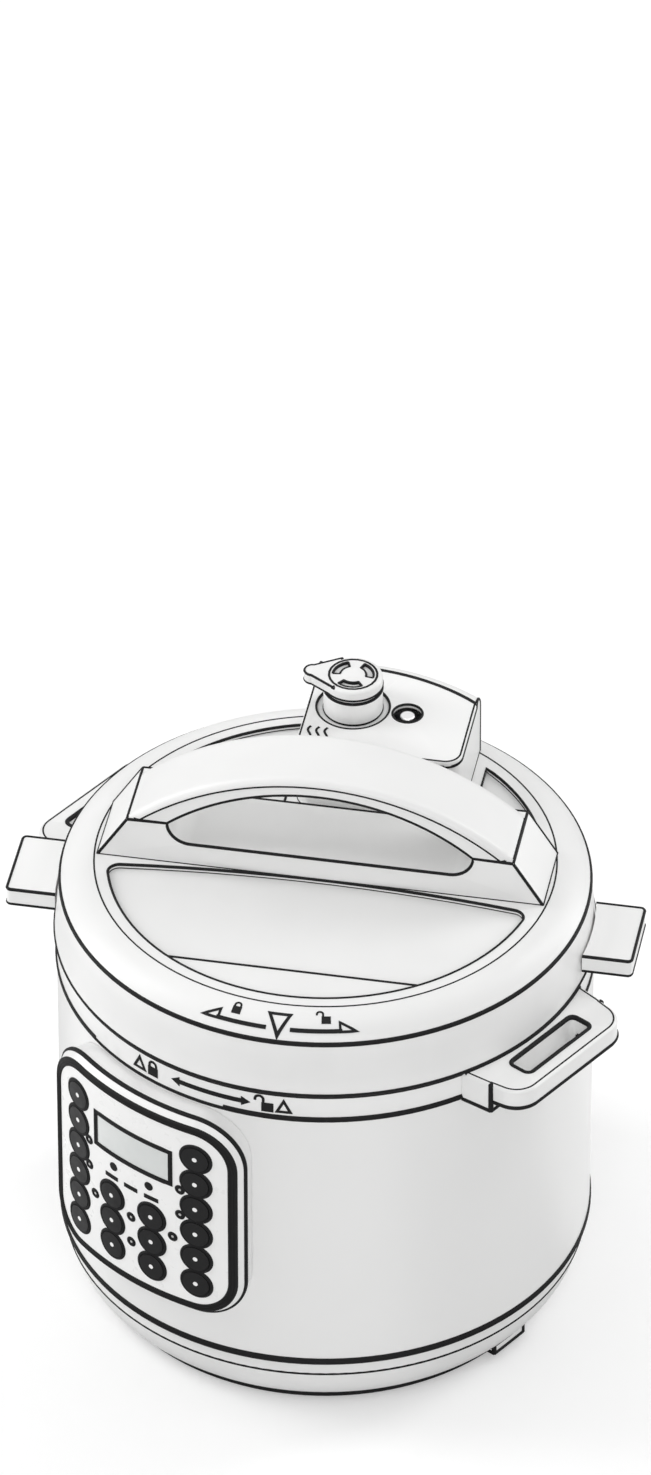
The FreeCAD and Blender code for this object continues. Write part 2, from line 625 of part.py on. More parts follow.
def make_bottom_cover():
    body = turned("bottom_cover", [
        ("0", "foot_rise"),
        ("foot_radius", "foot_rise", "flank_curve"),
        ("band_radius", "band_low"),
        ("band_radius", "sleeve_low - bead"),
        ("body_radius", "sleeve_low - bead"),
        ("body_radius", "sleeve_low"),
        (SPIGOT_OUT, "sleeve_low"),
        (SPIGOT_OUT, "sleeve_low + spigot"),
        (f"{SPIGOT_OUT} - moulding", "sleeve_low + spigot"),
        (f"{SPIGOT_OUT} - moulding", "sleeve_low"),
        ("band_radius - moulding", "sleeve_low - bead"),
        ("band_radius - moulding", "band_low", "-(flank_curve - moulding)"),
        ("foot_radius - moulding", COVER_FLOOR),
        ("0", COVER_FLOOR),
    ])
    hatch = sketch_on(body, "XZ_Plane", "-(inlet_face - inlet_deep)")
    half = "(inlet_half + fit)"
    rectangle(hatch, f"-{half}", half, "inlet_low - fit", "inlet_low + inlet_tall + fit")
    pocket(body, hatch, "inlet_deep + band_radius - inlet_face + past")
    vent = sketch_on(body, "XY_Plane", "foot_rise")
    rectangle(vent, "vent_in", "vent_out", "-vent_half", "vent_half")
    around(body, pocket(body, vent, "moulding + past", back=True), "vent_count")
    for side in (-1, 1):
        block = sketch_on(body, "XY_Plane", "foot_rise")
        near, far = "(foot_radius - moulding)", "block_reach"
        x0, x1 = (near, far) if side > 0 else (f"-{far}", f"-{near}")
        rectangle(block, x0, x1, "-block_half", "block_half")
        pad(body, block, "block_high - foot_rise")
    posts = sketch_on(body, "XY_Plane", f"{COVER_FLOOR} - past")
    for side in (-1, 1):
        for end in (-1, 1):
            x, y = f"{side} * (board_half_x - post_inset)", f"{end} * (board_half_y - post_inset)"
            circle(posts, x, y, "post_radius")
    pad(body, posts, f"board_low - {COVER_FLOOR} + past")


def make_foot_ring():
    turned("foot_ring", [
        ("foot_radius - foot_width", "0"),
        ("foot_radius - foot_bevel", "0"),
        ("foot_radius", "foot_bevel"),
        ("foot_radius", "foot_rise"),
        ("foot_radius - foot_width", "foot_rise"),
    ])


def make_sleeve():
    body = turned("housing_sleeve", [
        (SLEEVE_IN, "sleeve_low"),
        ("body_radius", "sleeve_low"),
        ("body_radius", "sleeve_high"),
        (SLEEVE_IN, "sleeve_high"),
    ])
    window = sketch_on(body, "XZ_Plane", "0")
    half = "(panel_board_half + board_room)"
    rectangle(window, f"-{half}", half, "panel_board_low - board_room", "panel_board_high + board_room")
    pocket(body, window, "body_radius + past", back=True)


def make_collar():
    body = turned("upper_collar", [
        ("chamber_radius + chamber_wall + fit", "gutter_floor - moulding"),
        (f"{SPIGOT_OUT} - moulding", "gutter_floor - moulding"),
        (f"{SPIGOT_OUT} - moulding", "sleeve_high - spigot"),
        (SPIGOT_OUT, "sleeve_high - spigot"),
        (SPIGOT_OUT, "sleeve_high"),
        ("body_radius", "sleeve_high"),
        ("body_radius", "base_height"),
        ("land_radius", "base_height"),
        ("land_radius", "gutter_floor"),
        ("lip_radius", "gutter_floor"),
        ("lip_radius", "tab_low - chamber_rim"),
        ("chamber_radius + chamber_wall + fit", "tab_low - chamber_rim"),
    ])
    bracket = draw(sketch_on(body, "YZ_Plane"), [
        ("land_radius + bracket_seat", "sleeve_high"),
        ("body_radius + fit", "sleeve_high"),
        ("body_radius + fit", "bracket_low"),
        ("bracket_reach", "bracket_low"),
        ("bracket_reach", "bracket_high - bracket_lean"),
        ("bracket_reach - bracket_lean", "bracket_high"),
        ("bracket_step", "bracket_high"),
        ("bracket_step", "base_height"),
        ("land_radius + bracket_seat", "base_height"),
    ])
    turn(body, bracket, "bracket_angle")
    ear = "(cup_half + cup_ear + fit)"
    lip = "(bracket_low - 2 * fit - cup_ear_thick)"
    for side in (1, -1):
        rails = draw(sketch_on(body, "XZ_Plane", "-(bracket_reach - rail_inset)"), [
            (f"{side} * (cup_half + rail_gap)", f"{lip} - rail"),
            (f"{side} * ({ear} + rail)", f"{lip} - rail"),
            (f"{side} * ({ear} + rail)", "bracket_low + past"),
            (f"{side} * {ear}", "bracket_low + past"),
            (f"{side} * {ear}", lip),
            (f"{side} * (cup_half + rail_gap)", lip),
        ])
        pad(body, rails, "bracket_reach - rail_inset - body_radius - fit")


def make_handle(label, side):
    """A side handle: a thick root on the collar and a thinner end with a slot for the lid's fin."""
    inner = "(body_radius + fit)"
    body = new_body(label)

    def plan(lift, reach, tip):
        root = f"sqrt({inner}^2 - handle_root^2)"
        sketch = sketch_on(body, "XY_Plane", lift)
        return draw(sketch, [
            (root, "-handle_root"),
            (reach, f"-({tip})"),
            (reach, tip),
            (root, "handle_root", f"-{inner}"),
        ])

    pad(body, plan("base_height - handle_lip", "handle_reach", "handle_tip"), "handle_lip")
    reach = number("handle_reach")
    rounded(body, lambda e: along(e, "Z") and e.BoundBox.XMin > reach - NEAR, "handle_corner")
    thick = plan("base_height - handle_depth", "handle_step", "handle_root - edge_round")
    pad(body, thick, "handle_depth")
    slot = sketch_on(body, "XY_Plane", "base_height")
    rectangle(slot, "slot_middle - slot_half", "slot_middle + slot_half", "-slot_long", "slot_long")
    pocket(body, slot, "handle_depth")
    slot_in, slot_out = number("slot_middle - slot_half"), number("slot_middle + slot_half")

    def slot_corner(edge):
        x = edge.BoundBox.Center.x
        return along(edge, "Z") and abs(edge.BoundBox.Center.y) < number("slot_long") + NEAR and (
            min(abs(x - slot_in), abs(x - slot_out)) < NEAR)

    rounded(body, slot_corner, "slot_corner")
    top = number("base_height")
    root = number(f"{inner}") - NEAR

    def outer_top(edge):
        centre = edge.BoundBox.Center
        in_slot = abs(centre.y) < number("slot_long") + NEAR and centre.x < slot_out + NEAR
        on_collar = math.hypot(edge.Vertexes[0].X, edge.Vertexes[0].Y) < root + 2 * NEAR and (
            math.hypot(edge.Vertexes[-1].X, edge.Vertexes[-1].Y) < root + 2 * NEAR)
        return level(edge, top) and not in_slot and not on_collar

    rounded(body, outer_top, "edge_round")
    body.Placement = Placement(Vector(), Rotation(Vector(0, 0, 1), 0 if side > 0 else 180))


def make_chamber():
    wall = "(chamber_radius + chamber_wall)"
    turned("cooking_chamber", [
        ("chamber_hole", "chamber_floor"),
        (wall, "chamber_floor"),
        (wall, "tab_low - chamber_rim"),
        ("lip_radius", "tab_low - chamber_rim"),
        ("lip_radius", "tab_low"),
        ("chamber_radius", "tab_low"),
        ("chamber_radius", "chamber_floor + chamber_wall"),
        ("chamber_hole", "chamber_floor + chamber_wall"),
    ])


def arch(half, rise):
    """The radius of an arc over a chord of two halves that rises by rise in the middle."""
    return f"((({half})^2 + ({rise})^2) / (2 * ({rise})))"


def half_round(radius):
    """The radius of an arc over a half circle: a hair larger, so that the sketch knows its middle's side."""
    return f"({radius}) * 1.0001"


def polar(radius, angle):
    """A point at an angle from the front, counted towards +X."""
    return (f"({radius}) * sin({angle})", f"-({radius}) * cos({angle})")


def make_bayonet_ring():
    body = turned("bayonet_ring", [
        ("chamber_radius", "tab_low"),
        ("tab_radius", "tab_low"),
        ("tab_radius", "tab_high"),
        ("chamber_radius", "tab_high"),
    ])
    middle = "(tab_first + 180 / tab_count)"
    gap = draw(sketch_on(body, "XY_Plane", "tab_low"), [
        (*polar("gap_radius", f"{middle} - gap_root"), "gap_radius"),
        polar("gap_radius", f"{middle} + gap_root"),
        (*polar("tab_radius + past", f"{middle} + gap_mouth"), "-(tab_radius + past)"),
        polar("tab_radius + past", f"{middle} - gap_mouth"),
    ])
    around(body, pocket(body, gap, "tab_high - tab_low", back=True), "tab_count")
    notch = draw(sketch_on(body, "XY_Plane", "tab_low"), [
        (*polar("notch_radius", "tab_first - notch_half"), "notch_radius"),
        polar("notch_radius", "tab_first + notch_half"),
        (*polar("tab_radius + past", "tab_first + notch_half"), "-(tab_radius + past)"),
        polar("tab_radius + past", "tab_first - notch_half"),
    ])
    pocket(body, notch, "tab_high - tab_low", back=True)


def make_heater():
    turned("heating_plate", [
        ("plate_bore", PLATE_LOW),
        ("heater_mid - heater_half", PLATE_LOW),
        ("heater_mid - heater_half", f"{PLATE_LOW} - heater_drop"),
        ("heater_mid + heater_half", f"{PLATE_LOW} - heater_drop"),
        ("heater_mid + heater_half", PLATE_LOW),
        ("plate_radius", PLATE_LOW),
        ("plate_radius", f"{PLATE_TOP} - plate_round", "plate_round"),
        ("plate_radius - plate_round", PLATE_TOP),
        ("plate_bore", PLATE_TOP),
    ])
    low = f"({PLATE_LOW} - terminal_long)"
    pins = [rod(f"terminal_{n}", "terminal_radius", f"{side} * terminal_at", "0", low, "terminal_long")
            for n, side in enumerate((-1, 1))]
    group("heater_terminals", pins)
    half = "(fuse_radius + strap_wall)"
    fuse = rod("fuse_body", "fuse_radius", "-fuse_long / 2", "fuse_at", f"{PLATE_LOW} - {half}", "fuse_long",
               axis="X")
    strap = box("fuse_strap", "-strap_half", "strap_half", f"fuse_at - {half}", f"fuse_at + {half}",
                f"{PLATE_LOW} - 2 * {half}", PLATE_LOW)
    group("thermal_fuse", [fuse, strap], kind="Fuse")
    body = box("switch_case", "switch_at", "switch_at + switch_long", "-switch_wide / 2", "switch_wide / 2",
               "chamber_floor - switch_tall", "chamber_floor")
    lever = box("switch_lever", "switch_at + lever_inset", "switch_at + switch_long - lever_inset",
                "-switch_wide / 4", "switch_wide / 4",
                "chamber_floor - switch_tall - lever_thick", "chamber_floor - switch_tall")
    group("pressure_switch", [body, lever], kind="Fuse")


HOLDER_IN = "(sensor_radius + fit)"
HOLDER_OUT = f"({HOLDER_IN} + sensor_wall)"
SENSOR_LOW = f"({PLATE_TOP} - sensor_deep)"


def make_sensor():
    turned("sensor_holder", [
        ("0", "holder_low"),
        (HOLDER_OUT, "holder_low"),
        (HOLDER_OUT, f"{PLATE_LOW} - sensor_wall"),
        ("holder_flange", f"{PLATE_LOW} - sensor_wall"),
        ("holder_flange", PLATE_LOW),
        (HOLDER_IN, PLATE_LOW),
        (HOLDER_IN, "holder_low + sensor_wall"),
        ("0", "holder_low + sensor_wall"),
    ])
    turned("temperature_sensor", [
        ("0", f"{PLATE_TOP} - sensor_wall"),
        ("sensor_radius - sensor_wall", f"{PLATE_TOP} - sensor_wall"),
        ("sensor_radius - sensor_wall", SENSOR_LOW),
        ("sensor_radius", SENSOR_LOW),
        ("sensor_radius", f"{PLATE_TOP} - sensor_round", "sensor_round"),
        ("sensor_radius - sensor_round", PLATE_TOP),
        ("0", PLATE_TOP),
    ])
    make_spring()


def make_spring():
    """A coil of tilted half turns from the holder's floor to the sensor's cap, with flat ends."""
    radius, wire = number("spring_radius"), number("spring_wire")
    low = number("holder_low + sensor_wall + fit") + wire / 2
    high = number(f"{PLATE_TOP} - sensor_wall - fit") - wire / 2
    halves = 2 * int(number("spring_turns"))
    step = (high - low) / halves
    arcs = []
    for n in range(halves):
        side = 1 if n % 2 == 0 else -1
        a = Vector(side * radius, 0, low + n * step)
        b = Vector(0, side * radius, low + (n + 0.5) * step)
        c = Vector(-side * radius, 0, low + (n + 1) * step)
        arcs.append(Part.Arc(a, b, c).toShape())
    path = Part.Wire(arcs)
    section = Part.Wire(Part.makeCircle(wire / 2, Vector(radius, 0, low), Vector(0, 1, 0)))
    thing = doc.addObject("Part::Feature", "sensor_spring")
    thing.Shape = path.makePipeShell([section], True, False)
    keep("sensor_spring", thing)
    print(f"sensor spring: gap between turns {2 * step - wire:.2f} mm")


def make_power():
    top = "(board_low + board_thick)"
    keep("power_board", box("power_board", "-board_half_x", "board_half_x", "-board_half_y", "board_half_y",
                            "board_low", top))
    left, right = "(part_inset - board_half_x)", "(board_half_x - part_inset)"
    parts = [
        box("transformer", left, f"{left} + coil_long", "-coil_half", "coil_half", top, f"{top} + coil_tall"),
        box("relay", f"{right} - relay_long", right, "-relay_wide - part_gap", "-part_gap", top,
            f"{top} + relay_tall"),
        rod("capacitor", "can_radius", f"{right} - relay_long / 2", "can_radius + part_gap", top, "can_tall"),
    ]
    group("board_components", parts)
    y0 = "(inlet_face - inlet_deep)"
    case = box("inlet_case", "-inlet_half", "inlet_half", y0, "inlet_face",
               "inlet_low", "inlet_low + inlet_tall")
    stand = box("inlet_stand", "-inlet_half", "inlet_half", y0, f"{y0} + stand_deep", COVER_FLOOR, "inlet_low")
    hollow = box("inlet_hollow", "-inlet_half + socket_wall", "inlet_half - socket_wall",
                 "inlet_face - socket_deep", "inlet_face + past", "inlet_low + socket_wall",
                 "inlet_low + inlet_tall - socket_wall")
    shell = combined("Cut", "inlet_shell", case, hollow)
    blades = [
        box(f"inlet_blade_{n}", f"{x} - blade_thick / 2", f"{x} + blade_thick / 2",
            "inlet_face - socket_deep", "inlet_face - blade_inset",
            f"{z} - blade_wide / 2", f"{z} + blade_wide / 2")
        for n, (x, z) in enumerate([
            ("-blade_pitch", "(inlet_low + inlet_tall / 2 - blade_wide / 2)"),
            ("0", "(inlet_low + inlet_tall / 2 + blade_wide / 2)"),
            ("blade_pitch", "(inlet_low + inlet_tall / 2 - blade_wide / 2)"),
        ])
    ]
    group("mains_inlet", [shell, stand, *blades], kind="Fuse")


# The control panel: concentric plates that face the front


def panel_block(label, half, low, high, inner, outer, corner):
    """A curved slab with rounded corners, concentric with the cooker."""
    body = doc.addObject("PartDesign::Body", label)
    body.Label = label
    slab = sketch_on(body, "YZ_Plane")
    rectangle(slab, f"-({outer})", f"-({inner})", low, high)
    turn(body, slab, f"2 * asin(({half}) / face_radius)")

    def radial(edge):
        return isinstance(edge.Curve, Part.Line) and edge.BoundBox.ZLength < NEAR

    rounded(body, radial, corner)
    return body


KEY_ROWS = {"key_outer": range(6), "key_inner": range(3)}
LAMPS = [("-lamp_outer", 3), ("lamp_outer", 3), ("-lamp_outer", 2), ("lamp_outer", 2),
         ("-lamp_inner", 1), ("lamp_inner", 1), ("0", 1), ("0", 0)]


def key_places():
    """Column, side and row of every key, from the lowest left."""
    return [(column, side, row) for column, rows in KEY_ROWS.items() for side in (-1, 1) for row in rows]


def key_height(row):
    return f"(key_first + {row} * key_pitch)"


def lamp_height(row):
    return f"({key_height(row)} + lamp_lift)"


def make_panel():
    frame = panel_block("bezel_block", "face_half + bezel_side", "face_low - bezel_side",
                        "face_high + bezel_side", "body_radius + fit", "face_radius",
                        "face_corner + bezel_side")
    outer = number("face_radius")

    def front(edge):
        return all(abs(math.hypot(v.X, v.Y) - outer) < NEAR for v in edge.Vertexes)

    rounded(frame, front, "bezel_slope", kind="Chamfer")
    rebate = panel_block("bezel_rebate", "face_half + fit", "face_low - fit", "face_high + fit",
                         f"{FACE_IN} - fit", "face_radius + past", "face_corner + fit")
    through = panel_block("bezel_through", "face_half - ledge", "face_low + ledge", "face_high - ledge",
                          "body_radius - past", "face_radius + past", "face_corner - ledge")
    shell = combined("Cut", "bezel_shell", frame, rebate)
    keep("panel_bezel", combined("Cut", "panel_bezel", shell, through))

    fascia = panel_block("panel_fascia", "face_half", "face_low", "face_high", FACE_IN, "face_radius",
                         "face_corner")
    keep("panel_fascia", fascia)
    bosses = sketch_on(fascia, "XZ_Plane", "panel_board")
    for x in (-1, 1):
        for z in ("panel_boss_low", "panel_boss_high"):
            circle(bosses, f"{x} * panel_boss_x", z, "panel_boss")
    pad(fascia, bosses, f"{FACE_IN} - panel_board - past")
    holes = sketch_on(fascia, "XZ_Plane", "panel_board")
    for column, side, row in key_places():
        circle(holes, f"{side} * {column}", key_height(row), "key_radius + fit")
    for x, row in LAMPS:
        circle(holes, x, lamp_height(row), "lamp_radius + fit / 2")
    rectangle(holes, "-window_half", "window_half", "window_low", "window_high")
    pocket(fascia, holes, "face_radius - panel_board + past", back=True)

    pane = panel_block("display_window", "window_half - fit", "window_low + fit", "window_high - fit",
                       "face_radius - window_thick", "face_radius - fit / 2", "window_corner")
    keep("display_window", pane)
    lenses = []
    skin = rod("lens_skin", "face_radius + fit / 2", "0", "0", "0", "base_height")
    for n, (x, row) in enumerate(LAMPS):
        front_y = f"-(sqrt(face_radius^2 - ({x})^2) + past)"
        peg = rod(f"lens_peg_{n}", "lamp_radius", x, front_y, lamp_height(row), "lamp_deep + past", axis="Y")
        lenses.append(combined("Common", f"lens_{n}", peg, skin))
    group("indicator_lenses", lenses)


def make_control_board():
    keep("control_board", box("control_board", "-panel_board_half", "panel_board_half", "-panel_board",
                              "-panel_board + board_thick", "panel_board_low", "panel_board_high"))
    keep("display_module", box("display_module", "module_inset - window_half", "window_half - module_inset",
                               f"-sqrt({FACE_IN}^2 - window_half^2) + 2 * fit", "-panel_board",
                               "window_low + module_margin", "window_high - module_margin"))
    switches = [
        box(f"switch_{n}", f"{side} * {column} - switch_half", f"{side} * {column} + switch_half",
            f"-({key_back(column)} - key_travel - fit)", "-panel_board",
            f"{key_height(row)} - switch_half", f"{key_height(row)} + switch_half")
        for n, (column, side, row) in enumerate(key_places())
    ]
    group("key_switches", switches)


def key_flange_front(column):
    """How far forward a key's flange may reach behind the curved fascia."""
    return f"(sqrt({FACE_IN}^2 - ({column} + key_radius + key_flange)^2) - fit)"


def key_back(column):
    return f"({key_flange_front(column)} - key_flange)"


def make_keys():
    before = "(face_radius + key_proud + past)"
    for n, (column, side, row) in enumerate(key_places(), start=1):
        x, z = f"{side} * {column}", key_height(row)
        stem = rod(f"stem_{n}", "key_radius", x, f"-{before}", z, f"{before} - {key_back(column)}", axis="Y")
        skin = rod(f"key_skin_{n}", "face_radius + key_proud", "0", "0", "0", "base_height")
        cap = combined("Common", f"cap_{n}", stem, skin)
        flange = rod(f"flange_{n}", "key_radius + key_flange", x, f"-{key_flange_front(column)}", z,
                     "key_flange", axis="Y")
        group(f"key_{n:02d}", [cap, flange], kind="Fuse")


def make_cup():
    """The condensation cup: an open box that hangs by its ears on the bracket's rails."""
    top = "(bracket_low - fit)"
    inner = "(body_radius + 2 * fit)"
    back = rod("cup_back", inner, "0", "0", "cup_low - past", "base_height")
    front = rod("cup_front", "cup_reach", "0", "0", "cup_low - past", "base_height")
    block = box("cup_block", "-cup_half", "cup_half", "body_radius - cup_half", "cup_reach + past",
                "cup_low", top)
    outer = combined("Cut", "cup_outer", combined("Common", "cup_curved", block, front), back)
    hollow_back = rod("cup_hollow_back", f"{inner} + cup_wall", "0", "0", "cup_low", "base_height")
    hollow_front = rod("cup_hollow_front", "cup_reach - cup_wall", "0", "0", "cup_low", "base_height")
    hollow_box = box("cup_hollow_box", "-cup_half + cup_wall", "cup_half - cup_wall", "body_radius - cup_half",
                     "cup_reach + past", "cup_low + cup_wall", f"{top} + past")
    hollow = combined("Cut", "cup_hollow", combined("Common", "cup_hollow_curved", hollow_box, hollow_front),
                      hollow_back)
    cup = combined("Cut", "cup_shell", outer, hollow)
    ears = []
    for side in (-1, 1):
        near, far = "(cup_half - past)", "(cup_half + cup_ear)"
        x0, x1 = (near, far) if side > 0 else (f"-{far}", f"-{near}")
        ears.append(box(f"cup_ear_{side + 1}", x0, x1, "body_radius + 2 * fit",
                        "bracket_reach - bracket_lean", f"{top} - cup_ear_thick", top))
    group("condensation_cup", [cup, *ears], kind="Fuse")


def make_pot():
    """The pot: a flat bottom, a wide corner, and a flared rim that ends in a rolled edge."""
    inner = "(pot_radius - pot_wall)"
    flat = "(pot_radius - pot_corner)"
    roll = "(pot_rim - pot_roll)"
    bend = f"({POT_RIM_LOW} + pot_wall - pot_flare)"
    turned("inner_pot", [
        ("0", POT_LOW),
        (flat, POT_LOW, "pot_corner"),
        ("pot_radius", f"{POT_LOW} + pot_corner"),
        ("pot_radius", bend, "-pot_flare"),
        ("pot_radius + pot_flare", f"{POT_RIM_LOW} + pot_wall"),
        (roll, f"{POT_RIM_LOW} + pot_wall"),
        (roll, POT_RIM_LOW, half_round("pot_roll")),
        (roll, POT_RIM_HIGH),
        (roll, f"{POT_RIM_LOW} + 2 * pot_wall"),
        ("pot_radius + pot_flare", f"{POT_RIM_LOW} + 2 * pot_wall", "pot_flare + pot_wall"),
        (inner, bend),
        (inner, f"{POT_LOW} + pot_corner", "-(pot_corner - pot_wall)"),
        (flat, f"{POT_LOW} + pot_wall"),
        ("0", f"{POT_LOW} + pot_wall"),
    ])


# The lid, drawn in its locked place and laid down unlocked


def lid_place(thing, x="0", y="0"):
    """Set a lid piece at a point of the locked lid, then turn it to its unlocked place."""
    thing.Placement = Placement(Vector(), Rotation(Vector(0, 0, 1), number("lock_turn")))
    bind(thing, Placement__Rotation__Angle="lock_turn")
    bind(thing, Placement__Base__x=f"({x}) * cos(lock_turn) - ({y}) * sin(lock_turn)")
    bind(thing, Placement__Base__y=f"({x}) * sin(lock_turn) + ({y}) * cos(lock_turn)")
    doc.recompute()


def boss_points():
    return [(f"{x} * boss_x", f"{y} * boss_y") for x in (-1, 1) for y in (-1, 1)]


def make_lid_plate():
    inner = "(pan_radius - pan_wall)"
    low = f"({LID} - pan_drop)"
    body = turned("lid_plate", [
        ("0", CROWN_LOW),
        ("crown_radius", CROWN_LOW),
        ("crown_radius + crown_slope", PAN_LOW),
        (inner, PAN_LOW),
        (inner, low),
        ("pan_radius", low),
        ("pan_radius", f"{PAN_TOP} - pan_bend", "pan_bend"),
        ("pan_radius - pan_bend", PAN_TOP),
        ("crown_radius + crown_slope", PAN_TOP),
        ("crown_radius", CROWN_TOP),
        ("0", CROWN_TOP),
    ])
    lug = draw(sketch_on(body, "XY_Plane", low), [
        (*polar(f"{inner} + pan_wall / 2", "tab_first - lug_half"), f"{inner} + pan_wall / 2"),
        polar(f"{inner} + pan_wall / 2", "tab_first + lug_half"),
        (*polar("lug_reach", "tab_first + lug_half"), "-lug_reach"),
        polar("lug_reach", "tab_first - lug_half"),
    ])
    around(body, pad(body, lug, "lug_tall"), "tab_count")
    holes = sketch_on(body, "XY_Plane", CROWN_LOW)
    circle(holes, "0", "knob_y", "pipe_radius + fit")
    circle(holes, "float_x", "float_y", "float_radius + 2 * fit")
    for x, y in boss_points():
        circle(holes, x, y, "screw_radius + fit")
    pocket(body, holes, "pan_wall", back=True)
    lid_place(body)


def make_lid_skirt():
    top = f"({LID} + skirt_rise)"
    body = turned("lid_skirt", [
        ("lid_radius - skirt_wall", LID),
        ("lid_radius", LID),
        ("lid_shoulder", top),
        ("lid_shoulder - skirt_wall", top),
        ("lid_shoulder - skirt_wall", f"{PAN_TOP} + skirt_wall"),
        ("skirt_ledge", f"{PAN_TOP} + skirt_wall"),
        ("skirt_ledge", PAN_TOP),
        ("lid_shoulder - skirt_wall", PAN_TOP),
    ])
    lid_place(body)


def make_fin(label, side):
    """A lid fin: a rounded tongue that stands the lid in a handle's slot."""
    low = f"({LID} + fin_low)"
    inner = "(lid_radius - (lid_radius - lid_shoulder) * fin_low / skirt_rise + fit)"
    body = new_body(label)
    root = f"sqrt({inner}^2 - fin_half^2)"
    plan = draw(sketch_on(body, "XY_Plane", low), [
        (root, "-fin_half"),
        ("fin_reach", "-fin_half"),
        ("fin_reach", "fin_half"),
        (root, "fin_half", f"-{inner}"),
    ])
    pad(body, plan, "fin_thick")
    reach = number("fin_reach")
    rounded(body, lambda e: along(e, "Z") and e.BoundBox.XMin > reach - NEAR, "fin_corner")
    body.Placement = Placement(Vector(), Rotation(Vector(0, 0, 1), 0))
    bind(body, Placement__Rotation__Angle=f"lock_turn + {0 if side > 0 else 180}")
    doc.recompute()


def lid_up(rise):
    return f"({LID} + {rise})"


TOWER_STEP = "(tower_back - tower_curve)"
TOWER_SEAT = f"({TOWER} - tower_cap)"


def front_corner(edge):
    """Whether an edge is one of the valve tower's upright front corners."""
    span = edge.BoundBox
    sides = (-number("tower_left"), number("tower_right"))
    at_front = abs(span.Center.y - number("tower_front")) < NEAR
    return along(edge, "Z") and at_front and min(abs(span.Center.x - x) for x in sides) < NEAR


def tower_plan(body, lift, inset, back):
    """The valve tower seen from above: straight in front and beside, and round the lid's axis behind."""
    left, right = f"(tower_left - {inset})", f"(tower_right - {inset})"
    return draw(sketch_on(body, "XY_Plane", lift), [
        (f"-{left}", f"tower_front + {inset}"),
        (right, f"tower_front + {inset}"),
        (right, f"sqrt({back}^2 - {right}^2)", back),
        (f"-{left}", f"sqrt({back}^2 - {left}^2)"),
    ])


def curved(edge, radius):
    """Whether an edge is an arc of that radius."""
    return isinstance(edge.Curve, Part.Circle) and abs(edge.Curve.Radius - number(radius)) < NEAR


def make_tower(body):
    """The valve tower's walls: a seat for the cap, and behind it a back that curves down to the edge."""
    foot, floor, top = lid_up("skirt_rise + past"), f"({DECK} + past)", number(TOWER)
    pad(body, tower_plan(body, foot, "0", "tower_back"), f"{TOWER} - {foot}")
    rounded(body, front_corner, "tower_corner")
    rounded(body, lambda e: level(e, top) and curved(e, "tower_back"), "tower_curve")
    pocket(body, tower_plan(body, TOWER, "(-past)", TOWER_STEP), "tower_cap")
    behind = tower_plan(body, floor, "cover_wall", "(tower_back - cover_wall)")
    pocket(body, behind, f"{TOWER} - tower_curve - {floor}", back=True)
    below_cap = tower_plan(body, floor, "cover_wall", f"({TOWER_STEP} - cover_wall)")
    pocket(body, below_cap, f"{TOWER} - {floor}", back=True)


def make_dishes(body):
    """Hollows in the deck: one before the handle, with a crease, and one on each side of the valve tower."""
    toe, end = "sqrt(dish_radius^2 - crease^2)", "sqrt(dish_radius^2 - dish_back^2)"
    floor = f"({DECK} - dish_deep)"
    dish = draw(sketch_on(body, "XY_Plane", floor), [
        (f"-{toe}", "-crease"),
        (toe, "-crease", "dish_radius"),
        (end, "-dish_back", arch(end, "dish_bow")),
        (f"-{end}", "-dish_back", "dish_radius"),
    ])
    pocket(body, dish, "dish_deep + past", back=True)
    front = draw(sketch_on(body, "XY_Plane", f"{DECK} - crease_deep"), [
        (f"-{toe}", "-crease", "dish_radius"),
        (toe, "-crease"),
    ])
    pocket(body, front, "crease_deep + past", back=True)
    behind = "(grip_back + dish_corner)"
    for side, tower in ((1, "tower_right"), (-1, "tower_left")):
        edge = f"({tower} + dish_corner)"
        rear = draw(sketch_on(body, "XY_Plane", floor), [
            (f"{side} * {edge}", behind),
            (f"{side} * sqrt(dish_radius^2 - {behind}^2)", behind, f"{side} * dish_radius"),
            (f"{side} * {edge}", f"sqrt(dish_radius^2 - {edge}^2)"),
        ])
        pocket(body, rear, "dish_deep + past", back=True)
    low, high = number(floor), number(DECK)

    def corner(edge):
        span = edge.BoundBox
        beside_handle = -number("dish_back") - NEAR < span.Center.y < number(behind) + NEAR
        deep = abs(span.ZMin - low) < NEAR and abs(span.ZMax - high) < NEAR
        return along(edge, "Z") and deep and beside_handle

    rounded(body, corner, "dish_corner")


def make_lid_cover():
    low = f"({LID} + skirt_rise + fit)"
    body = turned("lid_cover", [
        ("lid_shoulder", low, "shoulder_curve"),
        ("deck_radius", DECK),
        ("0", DECK),
        ("0", DECK_LOW),
        ("deck_radius - cover_wall", DECK_LOW),
        ("lid_shoulder - cover_wall", low),
    ])
    make_dishes(body)
    bosses = sketch_on(body, "XY_Plane", CROWN_TOP)
    for x, y in boss_points():
        circle(bosses, x, y, "boss_radius")
    pad(body, bosses, f"{DECK_LOW} - {CROWN_TOP} + past")
    feet = draw(sketch_on(body, "XZ_Plane", "grip_front"), grip_feet())
    pad(body, feet, "grip_front + grip_back", back=True)
    make_tower(body)
    holes = sketch_on(body, "XY_Plane", lid_up("skirt_rise"))
    circle(holes, "0", "knob_y", "pipe_flange + fit")
    circle(holes, "float_x", "float_y", "float_head + fit")
    pocket(body, holes, "deck_rise - skirt_rise + 2 * past", back=True)
    pilot = sketch_on(body, "XY_Plane", CROWN_TOP)
    for x, y in boss_points():
        circle(pilot, x, y, "screw_radius + fit / 2")
    pocket(body, pilot, "screw_long - pan_wall + fit", back=True)
    lid_place(body)


GRIP_SEAM = lid_up("grip_hole_floor + grip_hole_curve")


